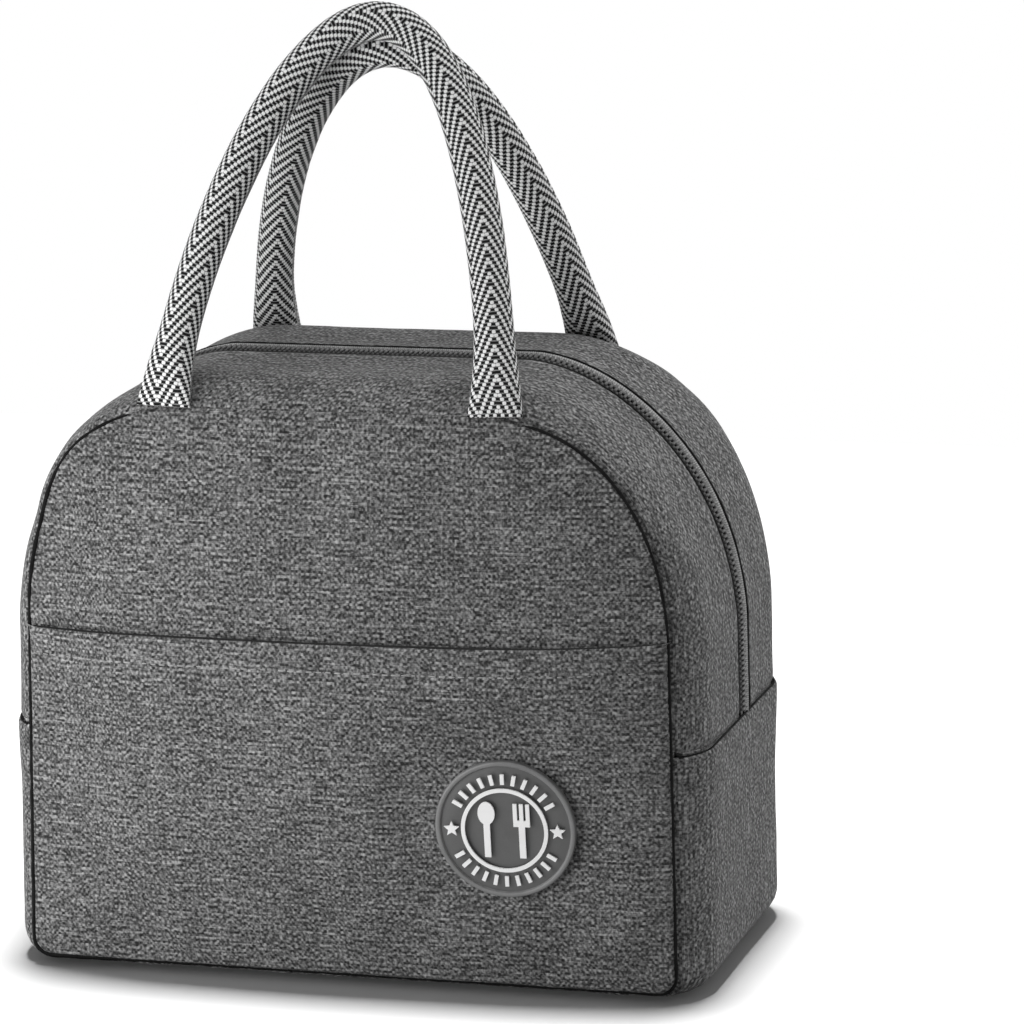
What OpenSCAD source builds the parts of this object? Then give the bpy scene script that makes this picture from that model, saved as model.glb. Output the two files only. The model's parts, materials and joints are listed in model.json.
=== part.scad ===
// Insulated fabric lunch bag, arched top, two tubular webbing handles.
// Frame: +Z up, front towards -Y, origin at the middle of the base on the table.

/* [Body] */
// Width between the two side seams of the front panel
body_w = 218; // [190:1:250]
// Height of the top seam of the front and back panels above the table
body_h = 186.5; // [170:0.5:220]
// Depth from front seam to back seam
body_d = 108; // [90:1:130]
// Height of the bottom seam above the table
seam_lift = 2; // [1:0.5:3]
// Radius of the two bottom corners of the panels
corner_r = 7; // [6:0.5:12]
// Width of each rounded shoulder of the arched top
shoulder_w = 58; // [45:1:70]
// Height of each rounded shoulder
shoulder_h = 74.5; // [60:0.5:85]
// How far the stuffed front and back panels stand proud in the middle
panel_bulge = 7; // [3:0.5:10]
// How far the side and top gussets stand proud of the seams
gusset_bulge = 8; // [6:0.5:11]
// Height of the zip's two lower ends, where the front folds open
fold_h = 80; // [72:1:95]
// Height of the turned-over edge along the top of the base gusset
turn_h = 7; // [5:0.5:10]

/* [Layers] */
// Thickness of the woven outer fabric
skin_t = 0.8; // [0.6:0.1:1.2]
// Thickness of the closed-cell foam
foam_t = 3; // [2:0.5:4]
// Thickness of the foil lining
lining_t = 0.5; // [0.3:0.1:0.8]
// Width of the binding tape over the inside seams
binding_w = 8; // [6:1:10]
// Thickness of the folded binding tape
binding_t = 1.6; // [1:0.1:2]

/* [Pocket and badge] */
// Height of the pocket's top edge
pocket_h = 113; // [100:1:118]
// How far the pocket's mouth stands off the panel in the middle
pocket_gape = 6; // [5:0.5:9]
// Diameter of the round rubber badge
badge_d = 45; // [35:1:50]
// Thickness of the badge's disc
badge_t = 1.6; // [1.2:0.1:2.5]
// Distance of the badge's centre from the right side seam
badge_side = 53; // [44:0.5:69]
// Height of the badge's centre, below the fold
badge_z = 57; // [45:0.5:57]

/* [Zip] */
// Width of one half of the coil
coil_w = 2.7; // [2:0.1:3]
// Thickness of the coil
coil_t = 1.8; // [1.4:0.1:2]
// Width of each woven tape
tape_w = 13; // [11:0.5:15]
// Thickness of each tape
tape_t = 0.6; // [0.4:0.1:0.8]
// Distance from the zip's middle to the folded edge of the front strip
slot_front = 4.7; // [4.7:0.1:5.5]
// Distance from the zip's middle to the folded edge of the back strip
slot_back = 6.4; // [5:0.1:7]
// Length of the slider's body
slider_l = 11; // [9:0.5:13]
// Length of the pull tab from its pin to its tip
tab_l = 23; // [18:1:30]

/* [Handles] */
// Distance between the middles of a handle's two feet
handle_span = 109; // [90:1:120]
// Length of the front handle's arch from foot to crown
front_rise = 126; // [110:1:140]
// Length of the back handle's arch from foot to crown
back_rise = 117; // [105:1:125]
// Diameter of the rolled webbing
handle_d = 12.4; // [10:0.2:14]
// Width of the flattened foot where the webbing enters the seam
foot_w = 18; // [15:0.5:20]
// Thickness of the flattened foot
foot_t = 2; // [1.6:0.2:3]
// How far outside the seam line the foot is sewn on
foot_out = 0.8; // [0.6:0.1:1.5]

/* [Hidden] */
ply = 0.1;               // air between two layers of the laminate
fold_gap = 0.3;          // air across the fold line
running = 0.05;          // radial clearance of the tab's eye on its pin
half_w = body_w / 2;
half_d = body_d / 2;
shoulder_power = 2.2;    // squareness of the shoulder's curve
bulge_power = 7;         // squareness of the gusset's cross-section
bulge_fill = 1.12;       // flat share of the gusset's cross-section
base_bulge = seam_lift;  // the base gusset comes down to the table
shoulder_pull = 0.6;     // how much tighter the gusset is pulled round the shoulders

// Depths of the layers under the gusset's outer face
foam_in = skin_t + ply;
lining_in = foam_in + foam_t + ply;
inside_in = lining_in + lining_t;
tape_in = skin_t + ply;

// ---- Small helpers ----
function flip(list) = [for (i = [len(list) - 1 : -1 : 0]) list[i]];
function unit(v) = v / norm(v);
function power(base, exponent) = pow(max(base, 0), exponent);
function spread(from, to, count) = [for (i = [0 : count]) from + (to - from) * i / count];

// ---- Seam outline, right half, as [x, z, normal_x, normal_z] from the bottom up ----
corner_steps = 4;
shoulder_steps = 10;
shoulder_z = body_h - shoulder_h;
shoulder_x = half_w - shoulder_w;

function corner_points() = [
  for (i = [0 : corner_steps])
    let (a = -90 + 90 * i / corner_steps)
      [half_w - corner_r + corner_r * cos(a), seam_lift + corner_r + corner_r * sin(a), cos(a), sin(a)]
];
function side_points(low, high, count) = [for (z = spread(low, high, count)) [half_w, z, 1, 0]];
function shoulder_point(a) =
  let (
    c = power(cos(a), 2 / shoulder_power),
    s = power(sin(a), 2 / shoulder_power),
    n = unit([
      power(c, shoulder_power - 1) / shoulder_w,
      power(s, shoulder_power - 1) / shoulder_h
    ])
  )
  [shoulder_x + shoulder_w * c, shoulder_z + shoulder_h * s, n[0], n[1]];
function shoulder_points() = [for (i = [0 : shoulder_steps]) shoulder_point(90 * i / shoulder_steps)];

below_fold = fold_h - fold_gap / 2;
above_fold = fold_h + fold_gap / 2;
lower_half = concat(corner_points(), side_points(seam_lift + corner_r + 22, below_fold, 2));
upper_half = concat(side_points(above_fold, shoulder_z - 14, 1), shoulder_points());
whole_half = concat(
  corner_points(),
  side_points(seam_lift + corner_r + 22, shoulder_z - 14, 3),
  shoulder_points()
);

function mirrored(p) = [-p[0], p[1], -p[2], p[3]];
// The half outline and its mirror image as one run, left foot first
function over_top(half) = concat([for (p = half) mirrored(p)], [[0, body_h, 0, 1]], flip(half));
// The lower half outline and its mirror image as one run, right side first
function under_base(half) = concat(flip(half), [[0, seam_lift, 0, -1]], [for (p = half) mirrored(p)]);

// ---- Gusset: how far it stands proud at depth y for a seam normal ----
function bulge_height(nx, nz) =
  nz < 0 ? gusset_bulge * nx * nx + base_bulge * nz * nz
         : gusset_bulge * (1 - shoulder_pull * abs(2 * nx * nz));
// Straight facets between these distances from the seam, shared by every layer
round_off = [0, 2.5, 7, 15];
profile = [for (r = round_off) [r, min(1, bulge_fill * (1 - power(1 - r / half_d, bulge_power)))]];
function bulge_share(y) = lookup(half_d - abs(y), profile);
function gusset_point(p, y, depth) =
  let (n = bulge_height(p[2], p[3]) * bulge_share(y) - depth)
    [p[0] + p[2] * n, y, p[1] + p[3] * n];

// ---- Panel: a stuffed sheet inside the seam outline, inset by a margin ----
panel_cols = 8;
function puff(t, z) =
  let (
    mid = (body_h + seam_lift) / 2,
    w = (z - mid) / (body_h - mid)
  )
    panel_bulge * (1 - power(abs(t), 2.2)) * (1 - power(abs(w), 2.5));
function panel_point(p, t, inset, depth, side) =
  let (
    x = (p[0] - p[2] * inset) * t,
    z = p[1] - p[3] * inset
  )
    [x, side * (half_d + puff(t, z) - depth), z];
function panel_grid(half, inset, depth, side) =
  [for (p = half) [for (t = spread(-1, 1, panel_cols)) panel_point(p, t, inset, depth, side)]];

// ---- Closed shell between two grids of points of the same size ----
module slab(outer, inner) {
  rows = len(outer);
  cols = len(outer[0]);
  base = rows * cols;
  points = concat([for (r = outer) each r], [for (r = inner) each r]);
  function at(i, k) = i * cols + k;
  function quad(a, b, c, d) = [[a, b, c], [a, c, d]];
  faces = concat(
    [for (i = [0 : rows - 2], k = [0 : cols - 2])
      each quad(at(i, k), at(i, k + 1), at(i + 1, k + 1), at(i + 1, k))],
    [for (i = [0 : rows - 2], k = [0 : cols - 2])
      each quad(base + at(i, k), base + at(i + 1, k), base + at(i + 1, k + 1), base + at(i, k + 1))],
    [for (k = [0 : cols - 2])
      each quad(at(0, k), base + at(0, k), base + at(0, k + 1), at(0, k + 1))],
    [for (k = [0 : cols - 2])
      each quad(at(rows - 1, k), at(rows - 1, k + 1), base + at(rows - 1, k + 1), base + at(rows - 1, k))],
    [for (i = [0 : rows - 2])
      each quad(at(i, 0), at(i + 1, 0), base + at(i + 1, 0), base + at(i, 0))],
    [for (i = [0 : rows - 2])
      each quad(at(i, cols - 1), base + at(i, cols - 1), base + at(i + 1, cols - 1), at(i + 1, cols - 1))]
  );
  polyhedron(points, faces);
}

module panel_layer(half, inset, depth, thickness, side) {
  near = panel_grid(half, inset, depth, side);
  far = panel_grid(half, inset, depth + thickness, side);
  if (side < 0) slab(far, near);
  else slab(near, far);
}

// One gusset layer along a run of the seam; stations are [y, depth, thickness]
module gusset_layer(run, stations) {
  outer = [for (p = run) [for (s = stations) gusset_point(p, s[0], s[1])]];
  inner = [for (p = run) [for (s = stations) gusset_point(p, s[0], s[1] + s[2])]];
  slab(outer, inner);
}

// ---- Panels: skin outside the seam plane, foam and lining inside it ----
module skin_panel(half, side) { panel_layer(half, 0, -skin_t, skin_t, side); }
module foam_panel(half, side) { panel_layer(half, foam_in, ply, foam_t, side); }
module lining_panel(half, side) { panel_layer(half, lining_in, 2 * ply + foam_t, lining_t, side); }

module front_panel_lower() { color("#6b6b6a") skin_panel(lower_half, -1); }
module front_panel_upper() { color("#6b6b6a") skin_panel(upper_half, -1); }
module front_foam_lower() { color("#e8e6df") foam_panel(lower_half, -1); }
module front_foam_upper() { color("#e8e6df") foam_panel(upper_half, -1); }
module front_lining_lower() { color("#c9ccd0") lining_panel(lower_half, -1); }
module front_lining_upper() { color("#c9ccd0") lining_panel(upper_half, -1); }
module back_panel() { color("#6b6b6a") skin_panel(whole_half, 1); }
module back_foam() { color("#e8e6df") foam_panel(whole_half, 1); }
module back_lining() { color("#c9ccd0") lining_panel(whole_half, 1); }

// ---- Slip pocket sewn over the front panel, in the same seam ----
pocket_top = concat(
  side_points(above_fold, min(pocket_h, shoulder_z), 2),
  pocket_h > shoulder_z ? [shoulder_point(asin(power((pocket_h - shoulder_z) / shoulder_h, shoulder_power / 2)))] : []
);
// The mouth stands off the panel; the sides and the bottom are sewn down
function gape(x, z) =
  pocket_gape * (1 - power(abs(x) / half_w, 2.5)) * power((z - seam_lift) / (pocket_h - seam_lift), 2);
function pocket_face(x, z) = half_d + 2 * skin_t + ply + puff(x / half_w, z) + gape(x, z);
function pocket_grid(half, depth) = [
  for (p = half) [for (t = spread(-1, 1, panel_cols))
    [p[0] * t, depth - pocket_face(p[0] * t, p[1]), p[1]]]
];
module pocket_sheet(half) { slab(pocket_grid(half, skin_t), pocket_grid(half, 0)); }
module front_pocket_lower() { color("#6b6b6a") pocket_sheet(lower_half); }
module front_pocket_upper() { color("#6b6b6a") pocket_sheet(pocket_top); }

// ---- Gusset strips on either side of the zip, and the base gusset under them ----
strip_run = over_top(upper_half);
base_run = under_base(lower_half);
foam_start = ply + foam_t + ply;                 // the panel's foam passes in front
lining_start = foam_start + lining_t + ply;      // and so does the panel's lining

// Facet edges from start to stop, both as distances from the seam
function facet_edges(start, stop) = concat([start], [for (r = round_off) if (r > start && r < stop) r], [stop]);
function stations_between(start, stop, depth, thickness) =
  [for (r = facet_edges(start, half_d - stop)) [half_d - r, depth, thickness]];
function facing(side, stations) =
  side > 0 ? flip(stations) : [for (s = stations) [-s[0], s[1], s[2]]];

module strip_skin(side, slot) {
  color("#6b6b6a") gusset_layer(strip_run, facing(side, stations_between(ply, slot, 0, skin_t)));
}
// Foam and lining are squeezed where the zip tape lies between them and the skin
lining_stop = max(slot_front, slot_back) + 0.8;
under_tape = tape_in + tape_t + ply;
squeezed_t = foam_t * 0.55;
module strip_foam(side) {
  flat = stations_between(foam_start, tape_w + 2, foam_in, foam_t);
  step = [[tape_w + 0.3, under_tape, foam_in + foam_t - under_tape]];
  edge = [[lining_stop, under_tape, squeezed_t]];
  color("#e8e6df") gusset_layer(strip_run, facing(side, concat(flat, step, edge)));
}
module strip_lining(side) {
  flat = stations_between(lining_start, tape_w + 2, lining_in, lining_t);
  step = [[tape_w + 0.3, lining_in, lining_t]];
  edge = [[lining_stop, under_tape + squeezed_t + ply, lining_t]];
  color("#c9ccd0") gusset_layer(strip_run, facing(side, concat(flat, step, edge)));
}
module zip_strip_front() { strip_skin(-1, slot_front); }
module zip_strip_back() { strip_skin(1, slot_back); }
module strip_foam_front() { strip_foam(-1); }
module strip_foam_back() { strip_foam(1); }
module strip_lining_front() { strip_lining(-1); }
module strip_lining_back() { strip_lining(1); }

function full_depth(start, depth, thickness) =
  let (half = stations_between(start, 0, depth, thickness))
    concat([for (s = half) [-s[0], s[1], s[2]]], [for (i = [len(half) - 2 : -1 : 0]) half[i]]);
// The skin's top edge is turned over to the outside on both flanks
turn_half = side_points(below_fold - turn_h, below_fold, 1);
module turned_edge(run) { gusset_layer(run, full_depth(ply, -skin_t, skin_t)); }
module base_gusset() {
  color("#6b6b6a") {
    gusset_layer(base_run, full_depth(ply, 0, skin_t));
    turned_edge(flip(turn_half));
    turned_edge([for (p = turn_half) mirrored(p)]);
  }
}
module base_foam() { color("#e8e6df") gusset_layer(base_run, full_depth(foam_start, foam_in, foam_t)); }
module base_lining() { color("#c9ccd0") gusset_layer(base_run, full_depth(lining_start, lining_in, lining_t)); }

// ---- Binding tape over the seam allowances inside the bag ----
binding_start = lining_start + ply;
binding_in = inside_in + ply;
module binding(run, side) {
  stops = stations_between(binding_start, half_d - binding_start - binding_w, binding_in, binding_t);
  color("#3c3c3e") gusset_layer(run, facing(side, stops));
}
module seam_binding_front_lower() { binding(base_run, -1); }
module seam_binding_front_upper() { binding(strip_run, -1); }
module seam_binding_back() {
  binding(strip_run, 1);
  binding(base_run, 1);
}

// ---- Zip: two woven tapes, each with half of the coil along its edge ----
tape_edge = 1.6;          // the tape stops short of the middle, under the coil
module tape(side) {
  stops = [[tape_w, tape_in, tape_t], [tape_edge, tape_in, tape_t]];
  color("#4a4a4b") gusset_layer(strip_run, facing(side, stops));
}
// Slider at rest: its lower end sits just above the zip's lower end
slider_w = 8.6;
plate_t = 1;              // thickness of the slider's two plates
slide_clear = 0.2;        // air round the coil inside the slider
slider_z = fold_h + 1.5 + slider_l / 2;
post_l = 4;               // the wedge that parts the coils, at the slider's lower end
coil_low = slider_z - slider_l / 2 + post_l + 0.6;

module half_coil(side) {
  inner_edge = 0.15;
  shoulder = 0.6;         // chamfer of the coil's upper edges
  left_foot = [[half_w, coil_low, 1, 0], [half_w, shoulder_z - 14, 1, 0]];
  run = concat(
    [for (p = concat(left_foot, shoulder_points())) mirrored(p)],
    [[0, body_h, 0, 1]],
    flip(upper_half)
  );
  stops = [[coil_w + inner_edge, tape_in - ply - coil_t + shoulder, coil_t - shoulder],
           [coil_w + inner_edge - shoulder, tape_in - ply - coil_t, coil_t],
           [inner_edge, tape_in - ply - coil_t, coil_t]];
  color("#2f2f31") gusset_layer(run, facing(side, stops));
}
module zip_tape_front() { tape(-1); }
module zip_tape_back() { tape(1); }
module zip_coil_front() { half_coil(-1); }
module zip_coil_back() { half_coil(1); }

// ---- Slider, drawn lying flat: X along the zip, Y across, Z away from the bag ----
// Z = 0 is the outer face of the gusset
coil_top = coil_t - tape_in + ply;
coil_foot = -tape_in + ply;
channel_top = coil_top + slide_clear;
channel_low = -tape_in - tape_t - slide_clear;
channel_half = coil_w + 0.15 + slide_clear;
plate_top = channel_top + plate_t;
pin_r = 0.9;
eye_r = pin_r + 0.9;      // outside of the tab's eye
pin_h = plate_top + eye_r + 0.15;
ear_gap = 4.2;            // distance between the two ears that hold the pin
ear_t = 1.1;

// Shield shape: square shoulders over the wedge, narrower behind the throat
module plate_outline() {
  tail = slider_w * 0.36;
  corner = 1.4;
  front = -slider_l / 2;
  polygon([
    [front, corner - slider_w / 2], [front + corner, -slider_w / 2], [slider_l * 0.12, -slider_w / 2],
    [slider_l / 2 - tail / 2, -tail], [slider_l / 2 - tail / 2, tail],
    [slider_l * 0.12, slider_w / 2], [front + corner, slider_w / 2], [front, slider_w / 2 - corner]
  ]);
  translate([slider_l / 2 - tail / 2, tail / 2]) circle(r = tail / 2, $fn = 32);
  translate([slider_l / 2 - tail / 2, -tail / 2]) circle(r = tail / 2, $fn = 32);
  translate([slider_l / 2 - tail / 2, -tail / 2]) square([tail / 2, tail]);
}
module slider_flat() {
  // Outer and inner plate
  translate([0, 0, channel_top]) linear_extrude(plate_t) plate_outline();
  translate([0, 0, channel_low - plate_t]) linear_extrude(plate_t) plate_outline();
  // Side walls that hold the coils, with a slit for the tapes
  wall_t = slider_w * 0.5 - channel_half - 0.05;
  for (s = [-1, 1]) {
    translate([-slider_l / 2 + 3.2, s * (channel_half + wall_t / 2) - wall_t / 2, coil_foot + slide_clear])
      cube([slider_l * 0.36, wall_t, channel_top - coil_foot - slide_clear]);
  }
  // Wedge between the plates
  translate([-slider_l / 2 + 0.6, 0, channel_low])
    linear_extrude(channel_top - channel_low)
      polygon([[0, -1.3], [1.2, -1.3], [post_l - 0.6, 0], [1.2, 1.3], [0, 1.3]]);
  // Ears for the pin
  difference() {
    for (s = [-1, 1]) {
      translate([0, s * (ear_gap + ear_t) / 2, 0]) {
        translate([-1.7, -ear_t / 2, channel_top + plate_t / 2]) cube([3.4, ear_t, pin_h - plate_top + plate_t / 2]);
        translate([0, ear_t / 2, pin_h]) rotate([90, 0, 0]) cylinder(r = 1.7, h = ear_t, $fn = 32);
      }
    }
    translate([0, 10, pin_h]) rotate([90, 0, 0]) cylinder(r = pin_r + 0.02, h = 20, $fn = 32);
  }
}
// Places a flat drawing on the left side gusset, with its X pointing up
module on_left_side(height) {
  translate([-half_w - gusset_bulge, 0, height]) rotate([0, -90, 0]) children();
}
module zip_slider() { color("#8d8f92") on_left_side(slider_z) slider_flat(); }
module zip_slider_pin() {
  color("#8d8f92")
    on_left_side(slider_z)
      translate([0, ear_gap / 2 + ear_t, pin_h]) rotate([90, 0, 0])
        cylinder(r = pin_r, h = ear_gap + 2 * ear_t, $fn = 32);
}

// Pull tab: eye round the pin, plate hanging down, slot at its tip
tab_w = 6.4;
tab_t = 1.2;
module tab_flat() {
  bore_r = pin_r + running;
  neck_w = ear_gap - 0.6;
  difference() {
    union() {
      translate([0, neck_w / 2, pin_h]) rotate([90, 0, 0]) cylinder(r = eye_r, h = neck_w, $fn = 32);
      translate([-6, -neck_w / 2, pin_h - tab_t / 2]) cube([6, neck_w, tab_t]);
      translate([-tab_l + tab_w / 2, -tab_w / 2, pin_h - tab_t / 2]) cube([tab_l - 5 - tab_w / 2, tab_w, tab_t]);
      translate([-tab_l + tab_w / 2, 0, pin_h - tab_t / 2]) cylinder(r = tab_w / 2, h = tab_t, $fn = 40);
    }
    translate([0, 10, pin_h]) rotate([90, 0, 0]) cylinder(r = bore_r, h = 20, $fn = 32);
    // Slot through the tip
    for (x = [-tab_l + tab_w / 2, -tab_l + tab_w / 2 + 5])
      translate([x, 0, pin_h - tab_t]) cylinder(r = 1.5, h = 2 * tab_t, $fn = 32);
    translate([-tab_l + tab_w / 2, -1.5, pin_h - tab_t]) cube([5, 3, 2 * tab_t]);
  }
}
module zip_pull_tab() { color("#8d8f92") on_left_side(slider_z) tab_flat(); }

// ---- Handles: webbing rolled into a tube, flattened where it enters the seam ----
foot_clear = 1.6;          // from the seam line to the end of the foot
flare = 34;                // the foot widens out over this length
arch_power = 1.45;
handle_steps = 18;
handle_sides = 12;
touch_gap = 0.4;           // between the two handles where they lean together

// The two crowns meet side by side, one a little lower than the other
crown_drop = front_rise - back_rise;
crown_y = sqrt(pow(handle_d + touch_gap, 2) - pow(crown_drop, 2)) / 2;
front_lean = asin((half_d + foot_out - crown_y) / front_rise);
back_lean = asin((half_d + foot_out - crown_y) / back_rise);

// Centre line in the handle's own plane, u across and v up from the seam
function arch(rise, s) =
  let (
    v = foot_clear + (rise - foot_clear) * sin(90 * s),
    u = handle_span / 2 * sqrt(max(0, 1 - power(v / rise, arch_power)))
  )
    [u, v];
function half_line(rise) = [for (i = [0 : handle_steps - 1]) arch(rise, i / handle_steps)];
function arch_line(rise) = concat(
  [for (p = half_line(rise)) [-p[0], p[1]]],
  [[0, rise]],
  flip(half_line(rise))
);
// Ring of points round the centre line, always turned the same way along it
function ring(line, i) =
  let (
    last = len(line) - 1,
    tangent = i == 0 ? [0, 1] : i == last ? [0, -1] : unit(line[i + 1] - line[i - 1]),
    across = [tangent[1], -tangent[0]],
    v = line[i][1],
    up = v - foot_clear,
    wide = handle_d / 2 + (foot_w - handle_d) / 2 * pow(1 - min(1, up / flare), 2),
    thick = handle_d / 2 - (handle_d - foot_t) / 2 * pow(1 - min(1, up / (flare * 0.6)), 2)
  )
    [for (k = [0 : handle_sides - 1])
      let (a = 360 * k / handle_sides)
        [line[i][0] + across[0] * wide * cos(a), thick * sin(a), v + across[1] * wide * cos(a)]];
module webbing_arch(rise) {
  line = arch_line(rise);
  count = len(line);
  sides = handle_sides;
  points = [for (i = [0 : count - 1]) each ring(line, i)];
  faces = concat(
    [for (i = [0 : count - 2], k = [0 : sides - 1])
      let (m = (k + 1) % sides, a = i * sides, b = (i + 1) * sides)
        each [[a + k, b + k, b + m], [a + k, b + m, a + m]]],
    [for (k = [1 : sides - 2]) [0, k, k + 1]],
    [for (k = [1 : sides - 2]) [(count - 1) * sides, (count - 1) * sides + k + 1, (count - 1) * sides + k]]
  );
  polyhedron(points, faces);
}
module handle(side, rise, lean) {
  color("#9b9b9b") translate([0, side * (half_d + foot_out), body_h]) rotate([side * lean, 0, 0]) webbing_arch(rise);
}
module handle_front() { handle(-1, front_rise, front_lean); }
module handle_back() { handle(1, back_rise, back_lean); }

// ---- Round moulded rubber badge, following the slope of the pocket where it is sewn ----
badge_r = badge_d / 2;
badge_x = half_w - badge_side;
rim_w = 2.2;
rim_t = 0.8;
relief_t = 0.6;
slope_step = badge_d / 4;
slope_x = (pocket_face(badge_x + slope_step, badge_z) - pocket_face(badge_x - slope_step, badge_z)) / (2 * slope_step);
slope_z = (pocket_face(badge_x, badge_z + slope_step) - pocket_face(badge_x, badge_z - slope_step)) / (2 * slope_step);
badge_seat = 0.35;        // clears the curve of the pocket under the disc's middle
// Children lie in X and Y, and stand out of the pocket along Z
module on_pocket(stand_off) {
  translate([badge_x, -pocket_face(badge_x, badge_z), badge_z])
    rotate([atan(slope_z), 0, -atan(slope_x)])
      translate([0, -stand_off, 0]) rotate([90, 0, 0]) children();
}
module badge_disc() {
  color("#4c4d50") on_pocket(badge_seat) difference() {
    cylinder(r = badge_r, h = badge_t + rim_t, $fn = 96);
    translate([0, 0, badge_t]) cylinder(r = badge_r - rim_w, h = 2 * rim_t, $fn = 96);
  }
}
// Generic tableware sign: a spoon and a fork in a ring, with rays and two stars round it
ring_r = badge_r * 0.62;
ring_w = badge_r * 0.055;
star_r = badge_r * 0.115;
mark_r = badge_r * 0.755;   // middle of the rays and stars
ray_l = badge_r * 0.15;
ray_w = badge_r * 0.055;
ray_step = 12;
tool_h = badge_r * 0.8;
tool_x = badge_r * 0.25;
tool_w = badge_r * 0.09;
module star() {
  linear_extrude(relief_t)
    polygon([for (i = [0 : 9]) (i % 2 == 0 ? star_r : star_r * 0.45) * [sin(36 * i), cos(36 * i)]]);
}
module spoon() {
  translate([-tool_w / 2, -tool_h / 2, 0]) cube([tool_w, tool_h * 0.7, relief_t]);
  translate([0, tool_h * 0.31, 0]) linear_extrude(relief_t) scale([0.72, 1]) circle(r = tool_h * 0.21, $fn = 40);
}
module fork() {
  tine_w = tool_w * 0.62;
  tine_gap = tool_w;
  translate([-tool_w / 2, -tool_h / 2, 0]) cube([tool_w, tool_h * 0.62, relief_t]);
  translate([-tine_gap - tine_w / 2, tool_h * 0.08, 0]) cube([2 * tine_gap + tine_w, tool_w, relief_t]);
  for (i = [-1 : 1])
    translate([i * tine_gap - tine_w / 2, tool_h * 0.08, 0]) cube([tine_w, tool_h * 0.42, relief_t]);
}
module badge_emblem() {
  color("#e6e6e6") on_pocket(badge_seat + badge_t) {
    difference() {
      cylinder(r = ring_r, h = relief_t, $fn = 80);
      translate([0, 0, -1]) cylinder(r = ring_r - ring_w, h = relief_t + 2, $fn = 80);
    }
    for (side = [0, 180], a = [30 : ray_step : 150])
      rotate(side + a) translate([mark_r - ray_l / 2, -ray_w / 2, 0]) cube([ray_l, ray_w, relief_t]);
    for (side = [-1, 1]) translate([side * mark_r, 0, 0]) star();
    translate([-tool_x, 0, 0]) spoon();
    translate([tool_x, 0, 0]) fork();
  }
}

front_panel_lower();
front_panel_upper();
front_foam_lower();
front_foam_upper();
front_lining_lower();
front_lining_upper();
front_pocket_lower();
front_pocket_upper();
back_panel();
back_foam();
back_lining();
zip_strip_front();
zip_strip_back();
strip_foam_front();
strip_foam_back();
strip_lining_front();
strip_lining_back();
base_gusset();
base_foam();
base_lining();
seam_binding_front_lower();
seam_binding_front_upper();
seam_binding_back();
zip_tape_front();
zip_tape_back();
zip_coil_front();
zip_coil_back();
zip_slider();
zip_slider_pin();
zip_pull_tab();
handle_front();
handle_back();
badge_disc();
badge_emblem();
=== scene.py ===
"""Finished surfaces of a soft insulated lunch bag, built round its packed construction.

Every sewn layer of the bag is a closed mesh of its own. The layers share one seam outline
and one gusset profile, so they stay nested as they do in the sewn bag. Lengths are in metres.
"""

import json
import logging
import math
from dataclasses import dataclass
from enum import Enum
from functools import cached_property
from typing import Optional, Sequence

import bmesh
import bpy
import numpy as np
from mathutils import Matrix, Vector

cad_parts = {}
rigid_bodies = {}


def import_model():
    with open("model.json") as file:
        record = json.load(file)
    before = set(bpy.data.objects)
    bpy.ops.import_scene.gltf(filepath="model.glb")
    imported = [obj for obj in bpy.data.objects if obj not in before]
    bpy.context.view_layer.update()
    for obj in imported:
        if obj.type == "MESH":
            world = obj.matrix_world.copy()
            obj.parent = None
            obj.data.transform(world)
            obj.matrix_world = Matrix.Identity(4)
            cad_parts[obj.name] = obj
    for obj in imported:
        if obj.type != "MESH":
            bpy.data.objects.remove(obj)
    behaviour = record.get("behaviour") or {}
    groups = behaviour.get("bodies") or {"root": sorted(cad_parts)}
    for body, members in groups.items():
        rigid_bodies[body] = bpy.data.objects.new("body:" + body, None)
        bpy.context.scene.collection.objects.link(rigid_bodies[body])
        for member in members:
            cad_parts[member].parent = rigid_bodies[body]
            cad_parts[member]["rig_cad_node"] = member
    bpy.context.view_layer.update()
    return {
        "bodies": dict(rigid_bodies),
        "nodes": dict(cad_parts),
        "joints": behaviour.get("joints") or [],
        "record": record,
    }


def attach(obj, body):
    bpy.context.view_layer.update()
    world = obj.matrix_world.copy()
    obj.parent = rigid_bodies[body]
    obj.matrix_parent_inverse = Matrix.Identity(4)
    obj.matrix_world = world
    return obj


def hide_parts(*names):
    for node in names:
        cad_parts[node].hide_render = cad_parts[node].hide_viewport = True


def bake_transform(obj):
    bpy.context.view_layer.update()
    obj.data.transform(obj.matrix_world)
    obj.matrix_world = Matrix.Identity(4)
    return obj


Array = np.ndarray
Color = tuple[float, float, float, float]

log = logging.getLogger("lunch_bag")

MM = 0.001


class Side(Enum):
    """Which panel a layer belongs to, with the sign of its Y."""

    FRONT = -1
    BACK = 1


class Layer(Enum):
    """The layers of the laminate, with their depth under the outer face and their thickness."""

    SKIN = (0.0, 0.8 * MM)
    FOAM = (0.9 * MM, 3.0 * MM)
    LINING = (4.0 * MM, 0.5 * MM)

    @property
    def depth(self) -> float:
        """Depth of the layer's outer face."""
        return self.value[0]

    @property
    def thickness(self) -> float:
        """Thickness of the layer."""
        return self.value[1]


class Body(Enum):
    """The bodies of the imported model."""

    BAG = "root"
    FLAP = "front_flap"
    FRONT_HANDLE = "front_handle"
    BACK_HANDLE = "back_handle"


# ---------------------------------------------------------------- number helpers


def turns(count: int) -> Array:
    """Evenly spaced angles round a full turn."""
    return np.arange(count) * 2 * math.pi / count


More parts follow.
